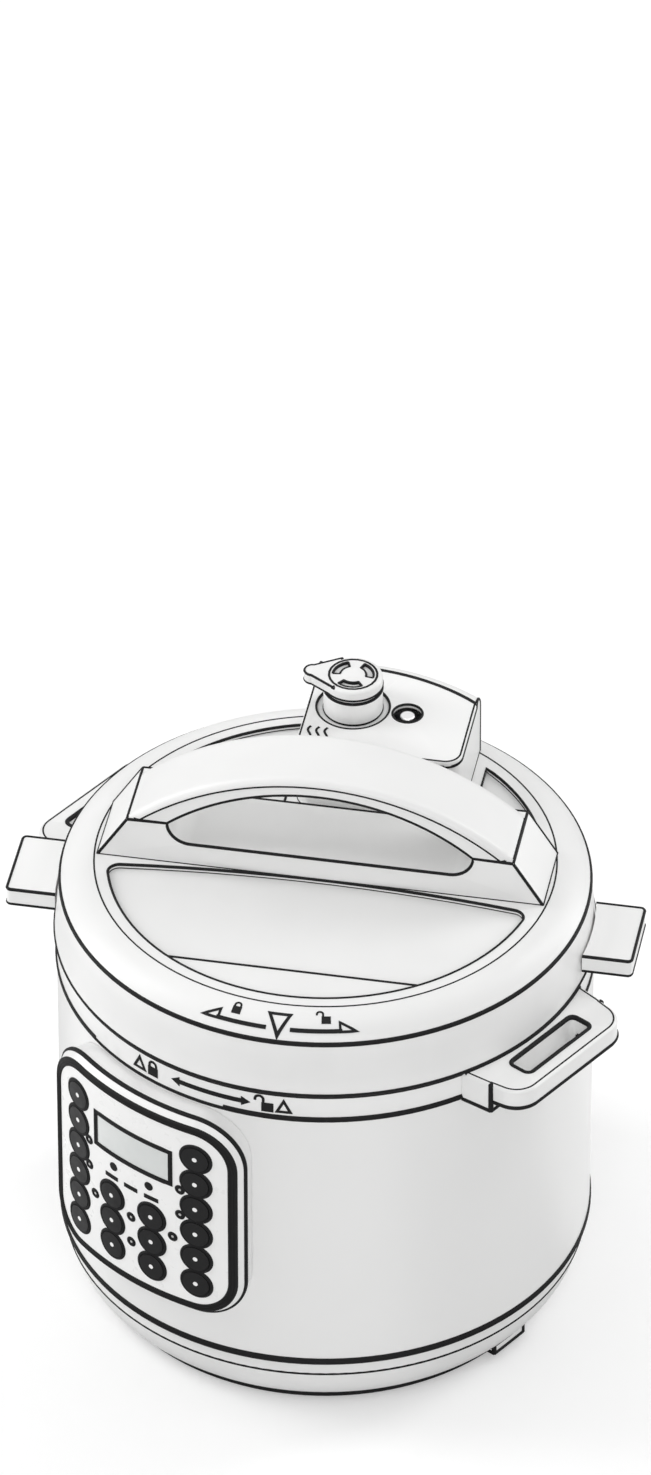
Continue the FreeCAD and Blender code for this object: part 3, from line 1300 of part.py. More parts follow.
def grip_feet():
    """The handle's two feet and the floor of its finger hole, seen from the front."""
    base = f"({DECK} - past)"
    floor = lid_up("grip_hole_floor")
    low_end = "(grip_hole - grip_hole_curve)"
    return [
        ("-grip_foot", base),
        ("grip_foot", base),
        ("grip_seam", GRIP_SEAM),
        ("grip_hole", GRIP_SEAM, "-grip_hole_curve"),
        (low_end, floor),
        (f"-{low_end}", floor, "-grip_hole_curve"),
        ("-grip_hole", GRIP_SEAM),
        ("-grip_seam", GRIP_SEAM),
    ]


def make_handle_cover():
    """The arched upper half of the lid handle, more rounded at the back than at the front."""
    body = new_body("handle_cover")
    seam_rise = "(grip_hole_floor + grip_hole_curve)"
    crest = arch("grip_seam", f"grip_top - {seam_rise}")
    outline = draw(sketch_on(body, "XZ_Plane", "grip_front"), [
        ("grip_hole", GRIP_SEAM),
        ("grip_seam", GRIP_SEAM, crest),
        ("-grip_seam", GRIP_SEAM),
        ("-grip_hole", GRIP_SEAM, "-" + arch("grip_hole", f"grip_hole_top - {seam_rise}")),
    ])
    pad(body, outline, "grip_front + grip_back", back=True)

    def crest_edge(at):
        return lambda edge: curved(edge, crest) and abs(edge.Vertexes[0].Y - at) < NEAR

    rounded(body, crest_edge(-number("grip_front")), "grip_round_front")
    rounded(body, crest_edge(number("grip_back")), "grip_round_back")
    lid_place(body)


def make_tower_cap():
    """The valve tower's flat cap, with a well for the knob and a hole for the float."""
    body = new_body("tower_cap")
    rear, top = f"({TOWER_STEP} - fit)", number(TOWER)
    pad(body, tower_plan(body, TOWER_SEAT, "0", rear), "tower_cap")
    rounded(body, front_corner, "tower_corner")
    rounded(body, lambda e: level(e, top) and not curved(e, rear), "cap_round")
    well = circle(sketch_on(body, "XY_Plane", TOWER), "0", "knob_y", "knob_well")
    pocket(body, well, "knob_well_deep")
    holes = sketch_on(body, "XY_Plane", f"{TOWER_SEAT} - past")
    circle(holes, "0", "knob_y", "pipe_radius + 2 * fit")
    circle(holes, "float_x", "float_y", "float_hole")
    pocket(body, holes, "tower_cap + 2 * past", back=True)
    lid_place(body)


def make_knob():
    low, top = f"({TOWER} - knob_well_deep + fit)", lid_up("knob_top")
    crown = f"({top} - knob_crown)"
    bore = "(pipe_radius + fit)"
    body = turned("steam_release_knob", [
        (bore, low),
        ("knob_radius", low),
        ("knob_radius", f"{crown} - 2 * knob_groove"),
        ("knob_radius - knob_groove", f"{crown} - 2 * knob_groove"),
        ("knob_radius - knob_groove", crown),
        ("knob_radius", crown),
        ("knob_radius", f"{top} - edge_round", "edge_round"),
        ("knob_radius - edge_round", top),
        ("0", top),
        ("0", crown),
        (bore, crown),
    ])
    pointer = draw(sketch_on(body, "XY_Plane", crown), [
        ("-knob_radius / 2", "pointer_root"),
        ("-(pointer_reach - pointer_half)", "pointer_half", half_round("pointer_half")),
        ("-(pointer_reach - pointer_half)", "-pointer_half"),
        ("-knob_radius / 2", "-pointer_root"),
    ])
    pad(body, pointer, "knob_crown")
    slot = draw(sketch_on(body, "XY_Plane", top), [
        (*polar("knob_slot_in", "knob_slot_half"), "-knob_slot_in"),
        polar("knob_slot_in", "-knob_slot_half"),
        (*polar("knob_slot_out", "-knob_slot_half"), "knob_slot_out"),
        polar("knob_slot_out", "knob_slot_half"),
    ])
    around(body, pocket(body, slot, "knob_slot_deep"), "knob_slots")
    lid_place(body, "0", "knob_y")


def make_vent():
    top = f"({lid_up('knob_top')} - knob_crown - fit)"
    body = turned("vent_pipe", [
        ("pipe_bore", f"{CROWN_LOW} - pipe_flange_tall"),
        ("pipe_flange", f"{CROWN_LOW} - pipe_flange_tall"),
        ("pipe_flange", CROWN_LOW),
        ("pipe_radius", CROWN_LOW),
        ("pipe_radius", CROWN_TOP),
        ("pipe_flange", CROWN_TOP),
        ("pipe_flange", f"{CROWN_TOP} + pipe_nut_tall"),
        ("pipe_radius", f"{CROWN_TOP} + pipe_nut_tall"),
        ("pipe_radius", f"{top} - pipe_taper"),
        ("pipe_bore + pipe_tip", top),
        ("pipe_bore", top),
    ])
    lid_place(body, "0", "knob_y")
    inner, floor = "(shield_radius - shield_wall)", f"({CROWN_LOW} - shield_deep)"
    body = turned("vent_shield", [
        ("0", floor),
        ("shield_radius - shield_bevel", floor),
        ("shield_radius", f"{floor} + shield_bevel"),
        ("shield_radius", CROWN_LOW),
        (inner, CROWN_LOW),
        (inner, f"{floor} + shield_wall + shield_bevel_in"),
        (f"{inner} - shield_bevel_in", f"{floor} + shield_wall"),
        ("0", f"{floor} + shield_wall"),
    ])
    slot = sketch_on(body, "XY_Plane", f"{floor} - past")
    slot_end = f"({inner} - shield_slot_inset)"
    rectangle(slot, f"{slot_end} - shield_slot_long", slot_end, "-shield_slot_half", "shield_slot_half")
    around(body, pocket(body, slot, "shield_wall + past", back=True), "shield_slots")
    lid_place(body, "0", "knob_y")


def make_float():
    """The float valve hangs by its shoulder on the lid plate, with its seal clear below the plate."""
    seal_top = f"({CROWN_LOW} - float_rise - fit)"
    shoulder = f"({CROWN_TOP} + fit)"
    body = turned("float_valve", [
        ("0", f"{seal_top} - float_cap_tall"),
        ("float_radius - float_neck", f"{seal_top} - float_cap_tall"),
        ("float_radius - float_neck", seal_top),
        ("float_radius", seal_top),
        ("float_radius", shoulder),
        ("float_head", shoulder),
        ("float_head", f"{shoulder} + float_head_tall"),
        ("float_radius", f"{shoulder} + float_head_tall"),
        ("float_radius", f"{lid_up('float_top')} - float_round", "float_round"),
        ("float_radius - float_round", lid_up("float_top")),
        ("0", lid_up("float_top")),
    ])
    lid_place(body, "float_x", "float_y")
    body = turned("float_seal", [
        ("float_radius - float_neck", f"{seal_top} - float_cap_tall"),
        ("float_cap", f"{seal_top} - float_cap_tall"),
        ("float_cap", f"{seal_top} - float_cap_bevel"),
        ("float_cap - float_cap_bevel", seal_top),
        ("float_radius - float_neck", seal_top),
    ])
    lid_place(body, "float_x", "float_y")


def make_seal():
    """The sealing ring, with two lips round a groove that opens inwards, and the wire rack inside it."""
    low, high = f"({POT_RIM_HIGH} + 2 * fit)", f"({PAN_LOW} - fit)"
    outer = "(pan_radius - pan_wall - fit)"
    body = turned("sealing_ring", [
        ("seal_in", low),
        (outer, low),
        (outer, high),
        ("seal_in", high),
        ("seal_in", f"{high} - seal_lip / 2"),
        (f"{outer} - seal_lip", f"{high} - seal_lip / 2"),
        (f"{outer} - seal_lip", f"{low} + seal_lip / 2"),
        ("seal_in", f"{low} + seal_lip / 2"),
    ])
    lid_place(body)
    wire = doc.addObject("Part::Torus", "rack_ring")
    bind(wire, Radius1="rack_radius", Radius2="rack_wire")
    bind(wire, Placement__Base__z=f"{PAN_LOW} - rack_drop")
    posts = []
    for n in range(int(number("tab_count"))):
        x, y = polar("rack_radius", f"{n} * 360 / tab_count")
        posts.append(rod(f"rack_post_{n}", "rack_post", x, y, f"{PAN_LOW} - rack_drop", "rack_drop"))
    rack = group("seal_rack", [wire, *posts], kind="Fuse")
    lid_place(rack)


def make_lid_screws():
    screws = []
    for n, (x, y) in enumerate(boss_points()):
        shank = rod(f"shank_{n}", "screw_radius", x, y, CROWN_LOW, "screw_long")
        head = rod(f"head_{n}", "screw_head", x, y, f"{CROWN_LOW} - screw_head_tall", "screw_head_tall")
        screw = doc.addObject("Part::Fuse", f"screw_{n}")
        screw.Base, screw.Tool = shank, head
        screws.append(screw)
    lid_place(group("lid_screws", screws))


make_bottom_cover()
make_foot_ring()
make_sleeve()
make_collar()
make_handle("handle_right", 1)
make_handle("handle_left", -1)
make_chamber()
make_bayonet_ring()
make_heater()
make_sensor()
make_power()
make_panel()
make_control_board()
make_keys()
make_cup()
make_pot()
make_lid_plate()
make_lid_skirt()
make_fin("lid_fin_right", 1)
make_fin("lid_fin_left", -1)
make_lid_cover()
make_handle_cover()
make_tower_cap()
make_knob()
make_vent()
make_float()
make_seal()
make_lid_screws()
doc.recompute()

for thing in doc.Objects:
    if {"Invalid", "Error"} & set(thing.State):
        raise RuntimeError(f"{thing.Label} failed: {thing.State}")
for label, thing in nodes.items():
    if thing.Shape.isNull() or not thing.Shape.isValid():
        raise RuntimeError(f"{label} has no valid shape")

os.makedirs("parts", exist_ok=True)
for label, thing in nodes.items():
    thing.Shape.exportStep(f"parts/{label}.step")
print(f"{len(nodes)} sub-parts written")
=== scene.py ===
import json
import math

import bmesh
import bpy
from mathutils import Matrix, Vector
from mathutils.bvhtree import BVHTree


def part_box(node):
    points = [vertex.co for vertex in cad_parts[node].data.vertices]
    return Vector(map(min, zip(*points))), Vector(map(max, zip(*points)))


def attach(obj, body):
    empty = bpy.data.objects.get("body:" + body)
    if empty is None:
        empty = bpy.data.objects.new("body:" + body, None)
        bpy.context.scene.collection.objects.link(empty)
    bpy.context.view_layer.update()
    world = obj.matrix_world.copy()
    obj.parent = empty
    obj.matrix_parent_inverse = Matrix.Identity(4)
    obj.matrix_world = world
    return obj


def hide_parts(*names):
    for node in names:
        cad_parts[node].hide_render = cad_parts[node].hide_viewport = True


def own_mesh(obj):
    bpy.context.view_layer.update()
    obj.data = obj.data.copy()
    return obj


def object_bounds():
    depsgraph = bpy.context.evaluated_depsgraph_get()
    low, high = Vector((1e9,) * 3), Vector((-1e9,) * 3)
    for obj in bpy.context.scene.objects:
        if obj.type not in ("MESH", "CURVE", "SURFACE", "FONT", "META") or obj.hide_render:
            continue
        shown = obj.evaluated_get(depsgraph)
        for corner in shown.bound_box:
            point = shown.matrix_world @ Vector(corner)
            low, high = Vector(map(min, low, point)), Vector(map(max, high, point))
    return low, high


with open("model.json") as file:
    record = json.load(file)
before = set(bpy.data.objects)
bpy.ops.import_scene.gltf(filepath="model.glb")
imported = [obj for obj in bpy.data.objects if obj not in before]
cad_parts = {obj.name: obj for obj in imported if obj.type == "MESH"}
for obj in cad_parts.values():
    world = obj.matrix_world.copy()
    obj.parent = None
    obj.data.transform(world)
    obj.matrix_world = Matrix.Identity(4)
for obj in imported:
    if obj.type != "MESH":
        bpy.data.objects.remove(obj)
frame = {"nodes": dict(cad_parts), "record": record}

# An electric pressure cooker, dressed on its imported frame. Lengths are in millimetres, which MM turns into
# the scene's metres, but those of the camera, the stage and the light are in metres. Angles round the cooker
# count from the front towards +X.

CAD_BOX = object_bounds()
MM = 0.001
# Points nearer to each other than this are one.
WELD = 0.001
UP = Vector((0, 0, 1))
DOWN = Vector((0, 0, -1))
NODES = frame["nodes"]
BEHAVIOUR = frame["record"]["behaviour"]
SLOT_OF = {part["node"]: part["material_slot"] for part in frame["record"]["subparts"]}
BODY_OF = {node: body for body, members in BEHAVIOUR["bodies"].items() for node in members}

FACE_RADIUS = -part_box("panel_fascia")[0].y / MM
BODY_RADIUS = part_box("housing_sleeve")[1].x / MM
# The keys' fronts lie on one cylinder, whose radius any of them gives.
KEY_FRONT = max(vert.co.xy.length for vert in NODES["key_13"].data.vertices) / MM
# At rest the lid lies unlocked, turned by this from where its handle runs straight across.
LID_TURN = math.radians(30)
LID_AXES = Matrix.Rotation(LID_TURN, 3, "Z")
# Radius of the pot's inner wall
POT_INSIDE = 111


def around(angle, radius, height):
    """The point at that angle round the cooker."""
    return Vector((radius * math.sin(angle), -radius * math.cos(angle), height))


def add_object(name, data):
    """A new object of the scene."""
    thing = bpy.data.objects.new(name, data)
    bpy.context.scene.collection.objects.link(thing)
    return thing


def set_inputs(node, **amounts):
    """Set a shader node's inputs; underscores in their names stand for spaces."""
    for name, amount in amounts.items():
        node.inputs[name.replace("_", " ")].default_value = amount


def colour_mix(nodes):
    """A node that mixes colours, with its two colour inputs and its result."""
    mix = nodes.new("ShaderNodeMix")
    mix.data_type = "RGBA"
    first, second = (socket for socket in mix.inputs if socket.type == "RGBA")
    result = next(socket for socket in mix.outputs if socket.type == "RGBA")
    return mix, first, second, result


# Camera

CAMERA_AZIMUTH = math.radians(40.5)
CAMERA_ELEVATION = math.radians(38.3)
CAMERA_DISTANCE = 6.0
FRAME_HEIGHT = 0.758
FRAME_MIDDLE = Vector((0, 0, 0.345))
VIEW_END = 100
# Blender counts a sensor's width and a lens in millimetres.
SENSOR = 36


def make_camera():
    """A long lens at the photograph's angle, framed so that the lifted lid and pot fit above the base."""
    data = bpy.data.cameras.new("camera")
    data.sensor_width = SENSOR
    data.lens = SENSOR * CAMERA_DISTANCE / FRAME_HEIGHT
    data.clip_end = VIEW_END
    camera = add_object("camera", data)
    back = around(CAMERA_AZIMUTH, math.cos(CAMERA_ELEVATION), math.sin(CAMERA_ELEVATION))
    camera.location = FRAME_MIDDLE + back * CAMERA_DISTANCE
    camera.rotation_mode = "QUATERNION"
    camera.rotation_quaternion = (-back).to_track_quat("-Z", "Y")
    bpy.context.scene.camera = camera


# Stage and light

FLOOR_SIZE = 40
FLOOR_COLOUR = (0.80, 0.80, 0.80, 1)
FLOOR_ROUGHNESS = 0.9
FLOOR_SPECULAR = 0.1
FLOOR_GLOW = 0.26
FAR_GLOW = 0.68
GLOW_START, GLOW_END = 0.7, 3.0
FLOOR_BANDS = [
    # degrees round from the camera towards its right, brightness in reflections
    (-180, 0.60), (-125, 0.55), (-105, 1.0), (-80, 1.0), (-60, 0.50), (-32, 0.50), (-16, 0.86),
    (16, 0.86), (32, 0.50), (74, 0.50), (92, 1.0), (122, 1.0), (140, 0.60), (180, 0.60),
]
WORLD_COLOUR = (1, 1, 1, 1)
WORLD_LIGHT = 0.42
LAMP_TARGET = Vector((0, 0, 0.2))
LAMPS = [
    # name, degrees round from the camera towards its right, distance, height, size, watts
    ("left_softbox", -100, 2.3, 1.5, (1.0, 2.6), 36),
    ("right_softbox", 117, 2.3, 1.3, (0.8, 2.4), 24),
    ("front_softbox", 4, 2.6, 1.6, (1.6, 1.4), 24),
    ("top_softbox", 180, 0.3, 2.8, (2.2, 2.2), 12),
]


def seen_directly(nodes, links):
    """One for camera, glossy and transmission rays, and zero for the rays that light the object."""
    path = nodes.new("ShaderNodeLightPath")
    total = path.outputs["Is Camera Ray"]
    for ray in ("Is Glossy Ray", "Is Transmission Ray"):
        more = nodes.new("ShaderNodeMath")
        more.operation = "MAXIMUM"
        links.new(total, more.inputs[0])
        links.new(path.outputs[ray], more.inputs[1])
        total = more.outputs[0]
    return total


def reflected_bands(nodes, links):
    """One for every ray but a reflected one, which sees soft light and dark sectors round the object."""
    turned = nodes.new("ShaderNodeMapping")
    set_inputs(turned, Rotation=(0, 0, math.pi / 2 - CAMERA_AZIMUTH))
    links.new(nodes.new("ShaderNodeTexCoord").outputs["Object"], turned.inputs["Vector"])
    round_about = nodes.new("ShaderNodeTexGradient")
    round_about.gradient_type = "RADIAL"
    links.new(turned.outputs["Vector"], round_about.inputs["Vector"])
    ramp = nodes.new("ShaderNodeValToRGB")
    ramp.color_ramp.interpolation = "EASE"
    # The ramp leads once round the object, with the camera at its middle.
    stops = ramp.color_ramp.elements
    while len(stops) < len(FLOOR_BANDS):
        stops.new(0.5)
    for stop, (degrees, level) in zip(stops, FLOOR_BANDS):
        stop.position = 0.5 + degrees / 360
        stop.color = (level, level, level, 1)
    links.new(round_about.outputs["Fac"], ramp.inputs["Fac"])
    mix = nodes.new("ShaderNodeMix")
    set_inputs(mix, A=1)
    links.new(nodes.new("ShaderNodeLightPath").outputs["Is Glossy Ray"], mix.inputs["Factor"])
    links.new(ramp.outputs["Color"], mix.inputs["B"])
    return mix.outputs["Result"]


def make_world():
    """An even world: white where it is seen, and a weaker light on the object."""
    world = bpy.data.worlds.new("studio")
    bpy.context.scene.world = world
    world.use_nodes = True
    nodes, links = world.node_tree.nodes, world.node_tree.links
    background = nodes["Background"]
    set_inputs(background, Color=WORLD_COLOUR)
    strength = nodes.new("ShaderNodeMapRange")
    set_inputs(strength, To_Min=WORLD_LIGHT)
    links.new(seen_directly(nodes, links), strength.inputs["Value"])
    links.new(strength.outputs["Result"], background.inputs["Strength"])


def distant_glow(nodes, links):
    """The floor's own glow, which rises with the distance and doesn't light the object."""
    away = nodes.new("ShaderNodeVectorMath")
    away.operation = "LENGTH"
    links.new(nodes.new("ShaderNodeTexCoord").outputs["Object"], away.inputs[0])
    reach = nodes.new("ShaderNodeMapRange")
    reach.interpolation_type = "SMOOTHSTEP"
    set_inputs(reach, From_Min=GLOW_START, From_Max=GLOW_END, To_Min=FLOOR_GLOW, To_Max=FAR_GLOW)
    links.new(away.outputs["Value"], reach.inputs["Value"])
    glow = nodes.new("ShaderNodeMath")
    glow.operation = "MULTIPLY"
    links.new(seen_directly(nodes, links), glow.inputs[0])
    links.new(reach.outputs["Result"], glow.inputs[1])
    return glow.outputs[0]


def floor_paper():
    """Pale matt paper that fades to white where the lamps no longer reach."""
    paper = bpy.data.materials.new("floor_paper")
    paper.use_nodes = True
    nodes, links = paper.node_tree.nodes, paper.node_tree.links
    shader = nodes["Principled BSDF"]
    set_inputs(shader, Roughness=FLOOR_ROUGHNESS, Specular_IOR_Level=FLOOR_SPECULAR)
    bands = reflected_bands(nodes, links)
    mix, first, second, result = colour_mix(nodes)
    mix.blend_type = "MULTIPLY"
    set_inputs(mix, Factor=1)
    first.default_value = FLOOR_COLOUR
    links.new(bands, second)
    links.new(result, shader.inputs["Base Color"])
    links.new(bands, shader.inputs["Emission Color"])
    links.new(distant_glow(nodes, links), shader.inputs["Emission Strength"])
    return paper


def make_floor():
    """A wide floor that takes the object's shadow."""
    mesh = bpy.data.meshes.new("floor")
    half = FLOOR_SIZE / 2
    corners = [(-half, -half, 0), (half, -half, 0), (half, half, 0), (-half, half, 0)]
    mesh.from_pydata(corners, [], [(0, 1, 2, 3)])
    mesh.materials.append(floor_paper())
    floor = add_object("floor", mesh)


def make_lamps():
    """Soft area lamps, which look at the cooker."""
    for name, round_by, distance, height, size, watts in LAMPS:
        data = bpy.data.lights.new(name, "AREA")
        data.shape = "RECTANGLE"
        data.size, data.size_y = size
        data.energy = watts
        lamp = add_object(name, data)
        lamp.location = around(CAMERA_AZIMUTH + math.radians(round_by), distance, height)
        lamp.rotation_mode = "QUATERNION"
        lamp.rotation_quaternion = (LAMP_TARGET - lamp.location).to_track_quat("-Z", "Y")


# Materials

WHITE = (0.86, 0.86, 0.855)
PALE = (0.87, 0.87, 0.865)
BLACK = (0.006, 0.006, 0.0065)
PLASTICS = [
    # slot, colour, roughness, what differs from plain plastic
    ("shell_plastic", WHITE, 0.36, {}),
    ("dark_trim", BLACK, 0.6, {"shade": 0.6, "specular": 0.2}),
    ("key_plastic", BLACK, 0.5, {"shade": 0.6, "specular": 0.3}),
    ("component_case", (0.05, 0.05, 0.055), 0.5, {}),
    ("fascia_film", PALE, 0.30, {"grain": 0.006}),
]
METALS = [
    # slot, colour, least and most roughness, pitch and depth of its lines, what differs from bright metal
    ("pressed_steel", (0.80, 0.80, 0.80), 0.26, 0.4, 0.5, 0.002, {"cloud": 0.93}),
    ("chamber_alloy", (0.90, 0.90, 0.895), 0.46, 0.6, 0.6, 0.003, {"cloud": 0.93, "metallic": 0.1}),
    ("cast_alloy", (0.88, 0.88, 0.88), 0.42, 0.58, 0.9, 0.02, {"cloud": 0.92, "metallic": 0.15}),
    ("spring_steel", (0.5, 0.5, 0.5), 0.25, 0.4, 0.2, 0.002, {}),
    ("fastener_steel", (0.55, 0.55, 0.56), 0.25, 0.4, 0.3, 0.003, {}),
]
# Noise scales of moulded plastic: larger ones are finer.
FLOW_MARKS, RIPPLES, SATIN, SPARK_GRAIN = 9, 45, 160, 2600
RIPPLE_HEIGHT = 0.02
# Rubbed edges are paler by this factor.
RUBBED = 1.06
# How far the roughness strays below and above its own value
SMOOTHER, ROUGHER = 0.05, 0.07
# Noise scale of the cloudy patches on metal
CLOUDS = 30
# The share of a full turn that lays reflections across the turned lines
ACROSS = 0.25
POT_BRIGHT = (0.78, 0.78, 0.78)
# Colour of the painted shade on the pot's inner wall and floor
POT_PAINTED_SHADE = (0.34, 0.34, 0.34)
# The painted shade on the pot's inside gives way to bright steel between these depths in its wall.
DARK_END, BRIGHT_START = 0.3, 0.7
# Scale of the pattern of tracks on a circuit board
TRACKS = 260


class Finish:
    """A procedural material in the object's own coordinates."""

    def __init__(self, slot, colour, roughness, **inputs):
        self.slot = slot
        self.material = bpy.data.materials.new(slot)
        self.material.use_nodes = True
        tree = self.material.node_tree
        self.nodes, self.links = tree.nodes, tree.links
        self.shader = self.nodes["Principled BSDF"]
        self.place = self.nodes.new("ShaderNodeTexCoord").outputs["Object"]
        self.colour = colour
        set_inputs(self.shader, Base_Color=(*colour, 1), Roughness=roughness, **inputs)

    def node(self, kind, **settings):
        """A new shader node with those settings."""
        made = self.nodes.new(f"ShaderNode{kind}")
        for name, amount in settings.items():
            setattr(made, name, amount)
        return made

    def calculate(self, operation, *values):
        """The result of a Math node on those values."""
        step = self.node("Math", operation=operation)
        for socket, value in zip(step.inputs, values):
            self.links.new(value, socket)
        return step.outputs[0]

    def noise(self, scale, detail=4):
        """A cloudy pattern all through the object."""
        texture = self.node("TexNoise")
        set_inputs(texture, Scale=scale, Detail=detail)
        self.links.new(self.place, texture.inputs["Vector"])
        return texture.outputs["Fac"]

    def spread(self, value, low, high, start=0.3, end=0.7):
        """Map a pattern's middle range onto a range of its own."""
        out = self.node("MapRange")
        set_inputs(out, From_Min=start, From_Max=end, To_Min=low, To_Max=high)
        self.links.new(value, out.inputs["Value"])
        return out.outputs["Result"]

    def rough(self, value, low, high):
        """Let the roughness follow a pattern."""
        self.links.new(self.spread(value, low, high), self.shader.inputs["Roughness"])

    def tint(self, value, other, **limits):
        """Run the colour towards another one where a pattern is high."""
        mix, first, second, result = colour_mix(self.nodes)
        source = self.shader.inputs["Base Color"]
        if source.is_linked:
            self.links.new(source.links[0].from_socket, first)
        else:
            first.default_value = (*self.colour, 1)
        second.default_value = (*other, 1)
        self.links.new(self.spread(value, 0, 1, **limits), mix.inputs["Factor"])
        self.links.new(result, source)

    def bump(self, value, height):
        """Raise a pattern by a height."""
        bump = self.node("Bump")
        set_inputs(bump, Strength=1, Distance=height * MM)
        self.links.new(value, bump.inputs["Height"])
        normal = self.shader.inputs["Normal"]
        if normal.is_linked:
            self.links.new(normal.links[0].from_socket, bump.inputs["Normal"])
        self.links.new(bump.outputs["Normal"], normal)

    def radius(self):
        """The distance from the axis and the height, in metres."""
        split = self.node("SeparateXYZ")
        self.links.new(self.place, split.inputs["Vector"])
        squares = [self.calculate("MULTIPLY", split.outputs[axis], split.outputs[axis]) for axis in "XY"]
        return self.calculate("SQRT", self.calculate("ADD", *squares)), split.outputs["Z"]

    def rings(self, pitch):
        """Fine turned or brushed lines: a pattern of the distance from the axis plus the height."""
        along = self.calculate("ADD", *self.radius())
        texture = self.node("TexNoise", noise_dimensions="1D")
        set_inputs(texture, Scale=1 / (pitch * MM), Detail=3)
        self.links.new(along, texture.inputs["W"])
        return texture.outputs["Fac"]

    def edges(self):
        """High on worn outer edges, middling on flat faces, low in corners."""
        return self.node("NewGeometry").outputs["Pointiness"]


def scaled(colour, share):
    """A darker or paler colour."""
    return tuple(min(1, part * share) for part in colour)


def moulded(slot, colour, roughness, grain=0.012, shade=0.93, specular=0.5):
    """Satin moulded plastic: a spark grain, faint flow marks and ripples, and edges rubbed a little paler."""
    finish = Finish(slot, colour, roughness, Specular_IOR_Level=specular)
    finish.tint(finish.noise(FLOW_MARKS, detail=3), scaled(colour, shade), start=0.45, end=0.75)
    finish.tint(finish.edges(), scaled(colour, RUBBED), start=0.52, end=0.6)
    finish.rough(finish.noise(SATIN, detail=5), roughness - SMOOTHER, roughness + ROUGHER)
    finish.bump(finish.noise(SPARK_GRAIN, detail=2), grain)
    finish.bump(finish.noise(RIPPLES, detail=2), RIPPLE_HEIGHT)
    return finish


def metal(slot, colour, low, high, pitch, depth, cloud=0.86, metallic=1.0):
    """Sheet or turned metal: fine lines round the axis and cloudy patches. A dulled one is less metallic."""
    finish = Finish(slot, colour, low, Metallic=metallic)
    lines = finish.rings(pitch)
    finish.rough(lines, low, high)
    finish.tint(finish.noise(CLOUDS, detail=6), scaled(colour, cloud), start=0.45, end=0.8)
    finish.bump(lines, depth)
    return finish


def spun(finish, amount):
    """Turned lines round the axis stretch reflections across them."""
    tangent = finish.node("Tangent", direction_type="RADIAL", axis="Z")
    finish.links.new(tangent.outputs["Tangent"], finish.shader.inputs["Tangent"])
    set_inputs(finish.shader, Anisotropic=amount, Anisotropic_Rotation=ACROSS)


def pot_steel():
    """Polished spun steel outside, with painted shade that darkens it on the inner wall and floor."""
    finish = metal("pot_steel", POT_BRIGHT, low=0.20, high=0.27, pitch=0.35, depth=0.001, cloud=0.97)
    spun(finish, amount=0.5)
    radius, _ = finish.radius()
    limits = {"start": (POT_INSIDE + DARK_END) * MM, "end": (POT_INSIDE + BRIGHT_START) * MM}
    # Painted shade: within the inner wall's radius the steel turns dark.
    finish.tint(finish.spread(radius, 1, 0, **limits), POT_PAINTED_SHADE, start=0, end=1)
    return finish


def sleeve_paint():
    """Pale baked paint under a thin clear coat."""
    finish = Finish("sleeve_paint", PALE, roughness=0.3, Coat_Weight=0.25, Coat_Roughness=0.12)
    finish.rough(finish.noise(scale=40, detail=3), low=0.29, high=0.34)
    finish.tint(finish.noise(scale=6, detail=2), (0.845, 0.845, 0.84), start=0.45, end=0.75)
    finish.bump(finish.noise(scale=650, detail=2), height=0.0015)
    return finish


def window_pane():
    """A blank grey display behind a glossy face."""
    finish = Finish("window_pane", (0.74, 0.76, 0.75), roughness=0.16, Coat_Weight=1.0, Coat_Roughness=0.04)
    finish.tint(finish.noise(scale=60, detail=3), (0.69, 0.71, 0.70))
    finish.rough(finish.noise(scale=400, detail=3), low=0.14, high=0.2)
    return finish


def lamp_lens():
    """Milky plastic."""
    finish = Finish("lamp_lens", (0.86, 0.86, 0.84), roughness=0.18, Transmission_Weight=0.35, IOR=1.49)
    finish.rough(finish.noise(scale=900, detail=2), low=0.14, high=0.24)
    return finish


def circuit_board():
    """Green board with paler raised tracks."""
    finish = Finish("circuit_board", (0.02, 0.13, 0.06), roughness=0.42)
    texture = finish.node("TexBrick")
    set_inputs(texture, Scale=TRACKS)
    finish.links.new(finish.place, texture.inputs["Vector"])
    finish.tint(texture.outputs["Fac"], (0.05, 0.24, 0.10), start=0.2, end=0.8)
    finish.bump(texture.outputs["Fac"], height=0.03)
    finish.rough(finish.noise(scale=300), low=0.35, high=0.5)
    return finish


def seal_silicone():
    """Soft translucent silicone."""
    finish = Finish("seal_silicone", (0.78, 0.78, 0.76), roughness=0.5)
    set_inputs(finish.shader, Subsurface_Weight=0.2, Subsurface_Scale=4 * MM)
    finish.tint(finish.noise(scale=40, detail=5), (0.72, 0.72, 0.69))
    finish.rough(finish.noise(scale=500), low=0.42, high=0.58)
    finish.bump(finish.noise(scale=1500), height=0.008)
    return finish


def cup_plastic():
    """Clear plastic with faint waves."""
    finish = Finish("cup_plastic", (0.92, 0.93, 0.93), roughness=0.12, Transmission_Weight=0.9, IOR=1.49)
    finish.rough(finish.noise(scale=200), low=0.08, high=0.2)
    finish.bump(finish.noise(scale=60, detail=2), height=0.02)
    return finish


def make_finishes():
    """Every material, by the name of its slot in the record."""
    made = [moulded(*row, **other) for *row, other in PLASTICS]
    made += [metal(*row, **other) for *row, other in METALS]
    made += [pot_steel(), sleeve_paint(), window_pane(), lamp_lens()]
    made += [circuit_board(), seal_silicone(), cup_plastic()]
    return {finish.slot: finish.material for finish in made}


def dress_nodes(finishes):
    """Give every CAD node the finish of its record slot."""
    for name, thing in NODES.items():
        thing.data.materials.clear()
        thing.data.materials.append(finishes[SLOT_OF[name]])


def make_spring():
    """The sensor's spring, as a copy that rides on the base in place of the frame's own."""
    press = next(joint for joint in BEHAVIOUR["joints"] if joint["name"] == "sensor_press")
    travel = max(abs(end) for end in press["range_m"])
    spring = add_object("pressed_spring", NODES["sensor_spring"].data.copy())
    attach(spring, "base")
    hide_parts("sensor_spring")
    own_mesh(spring)
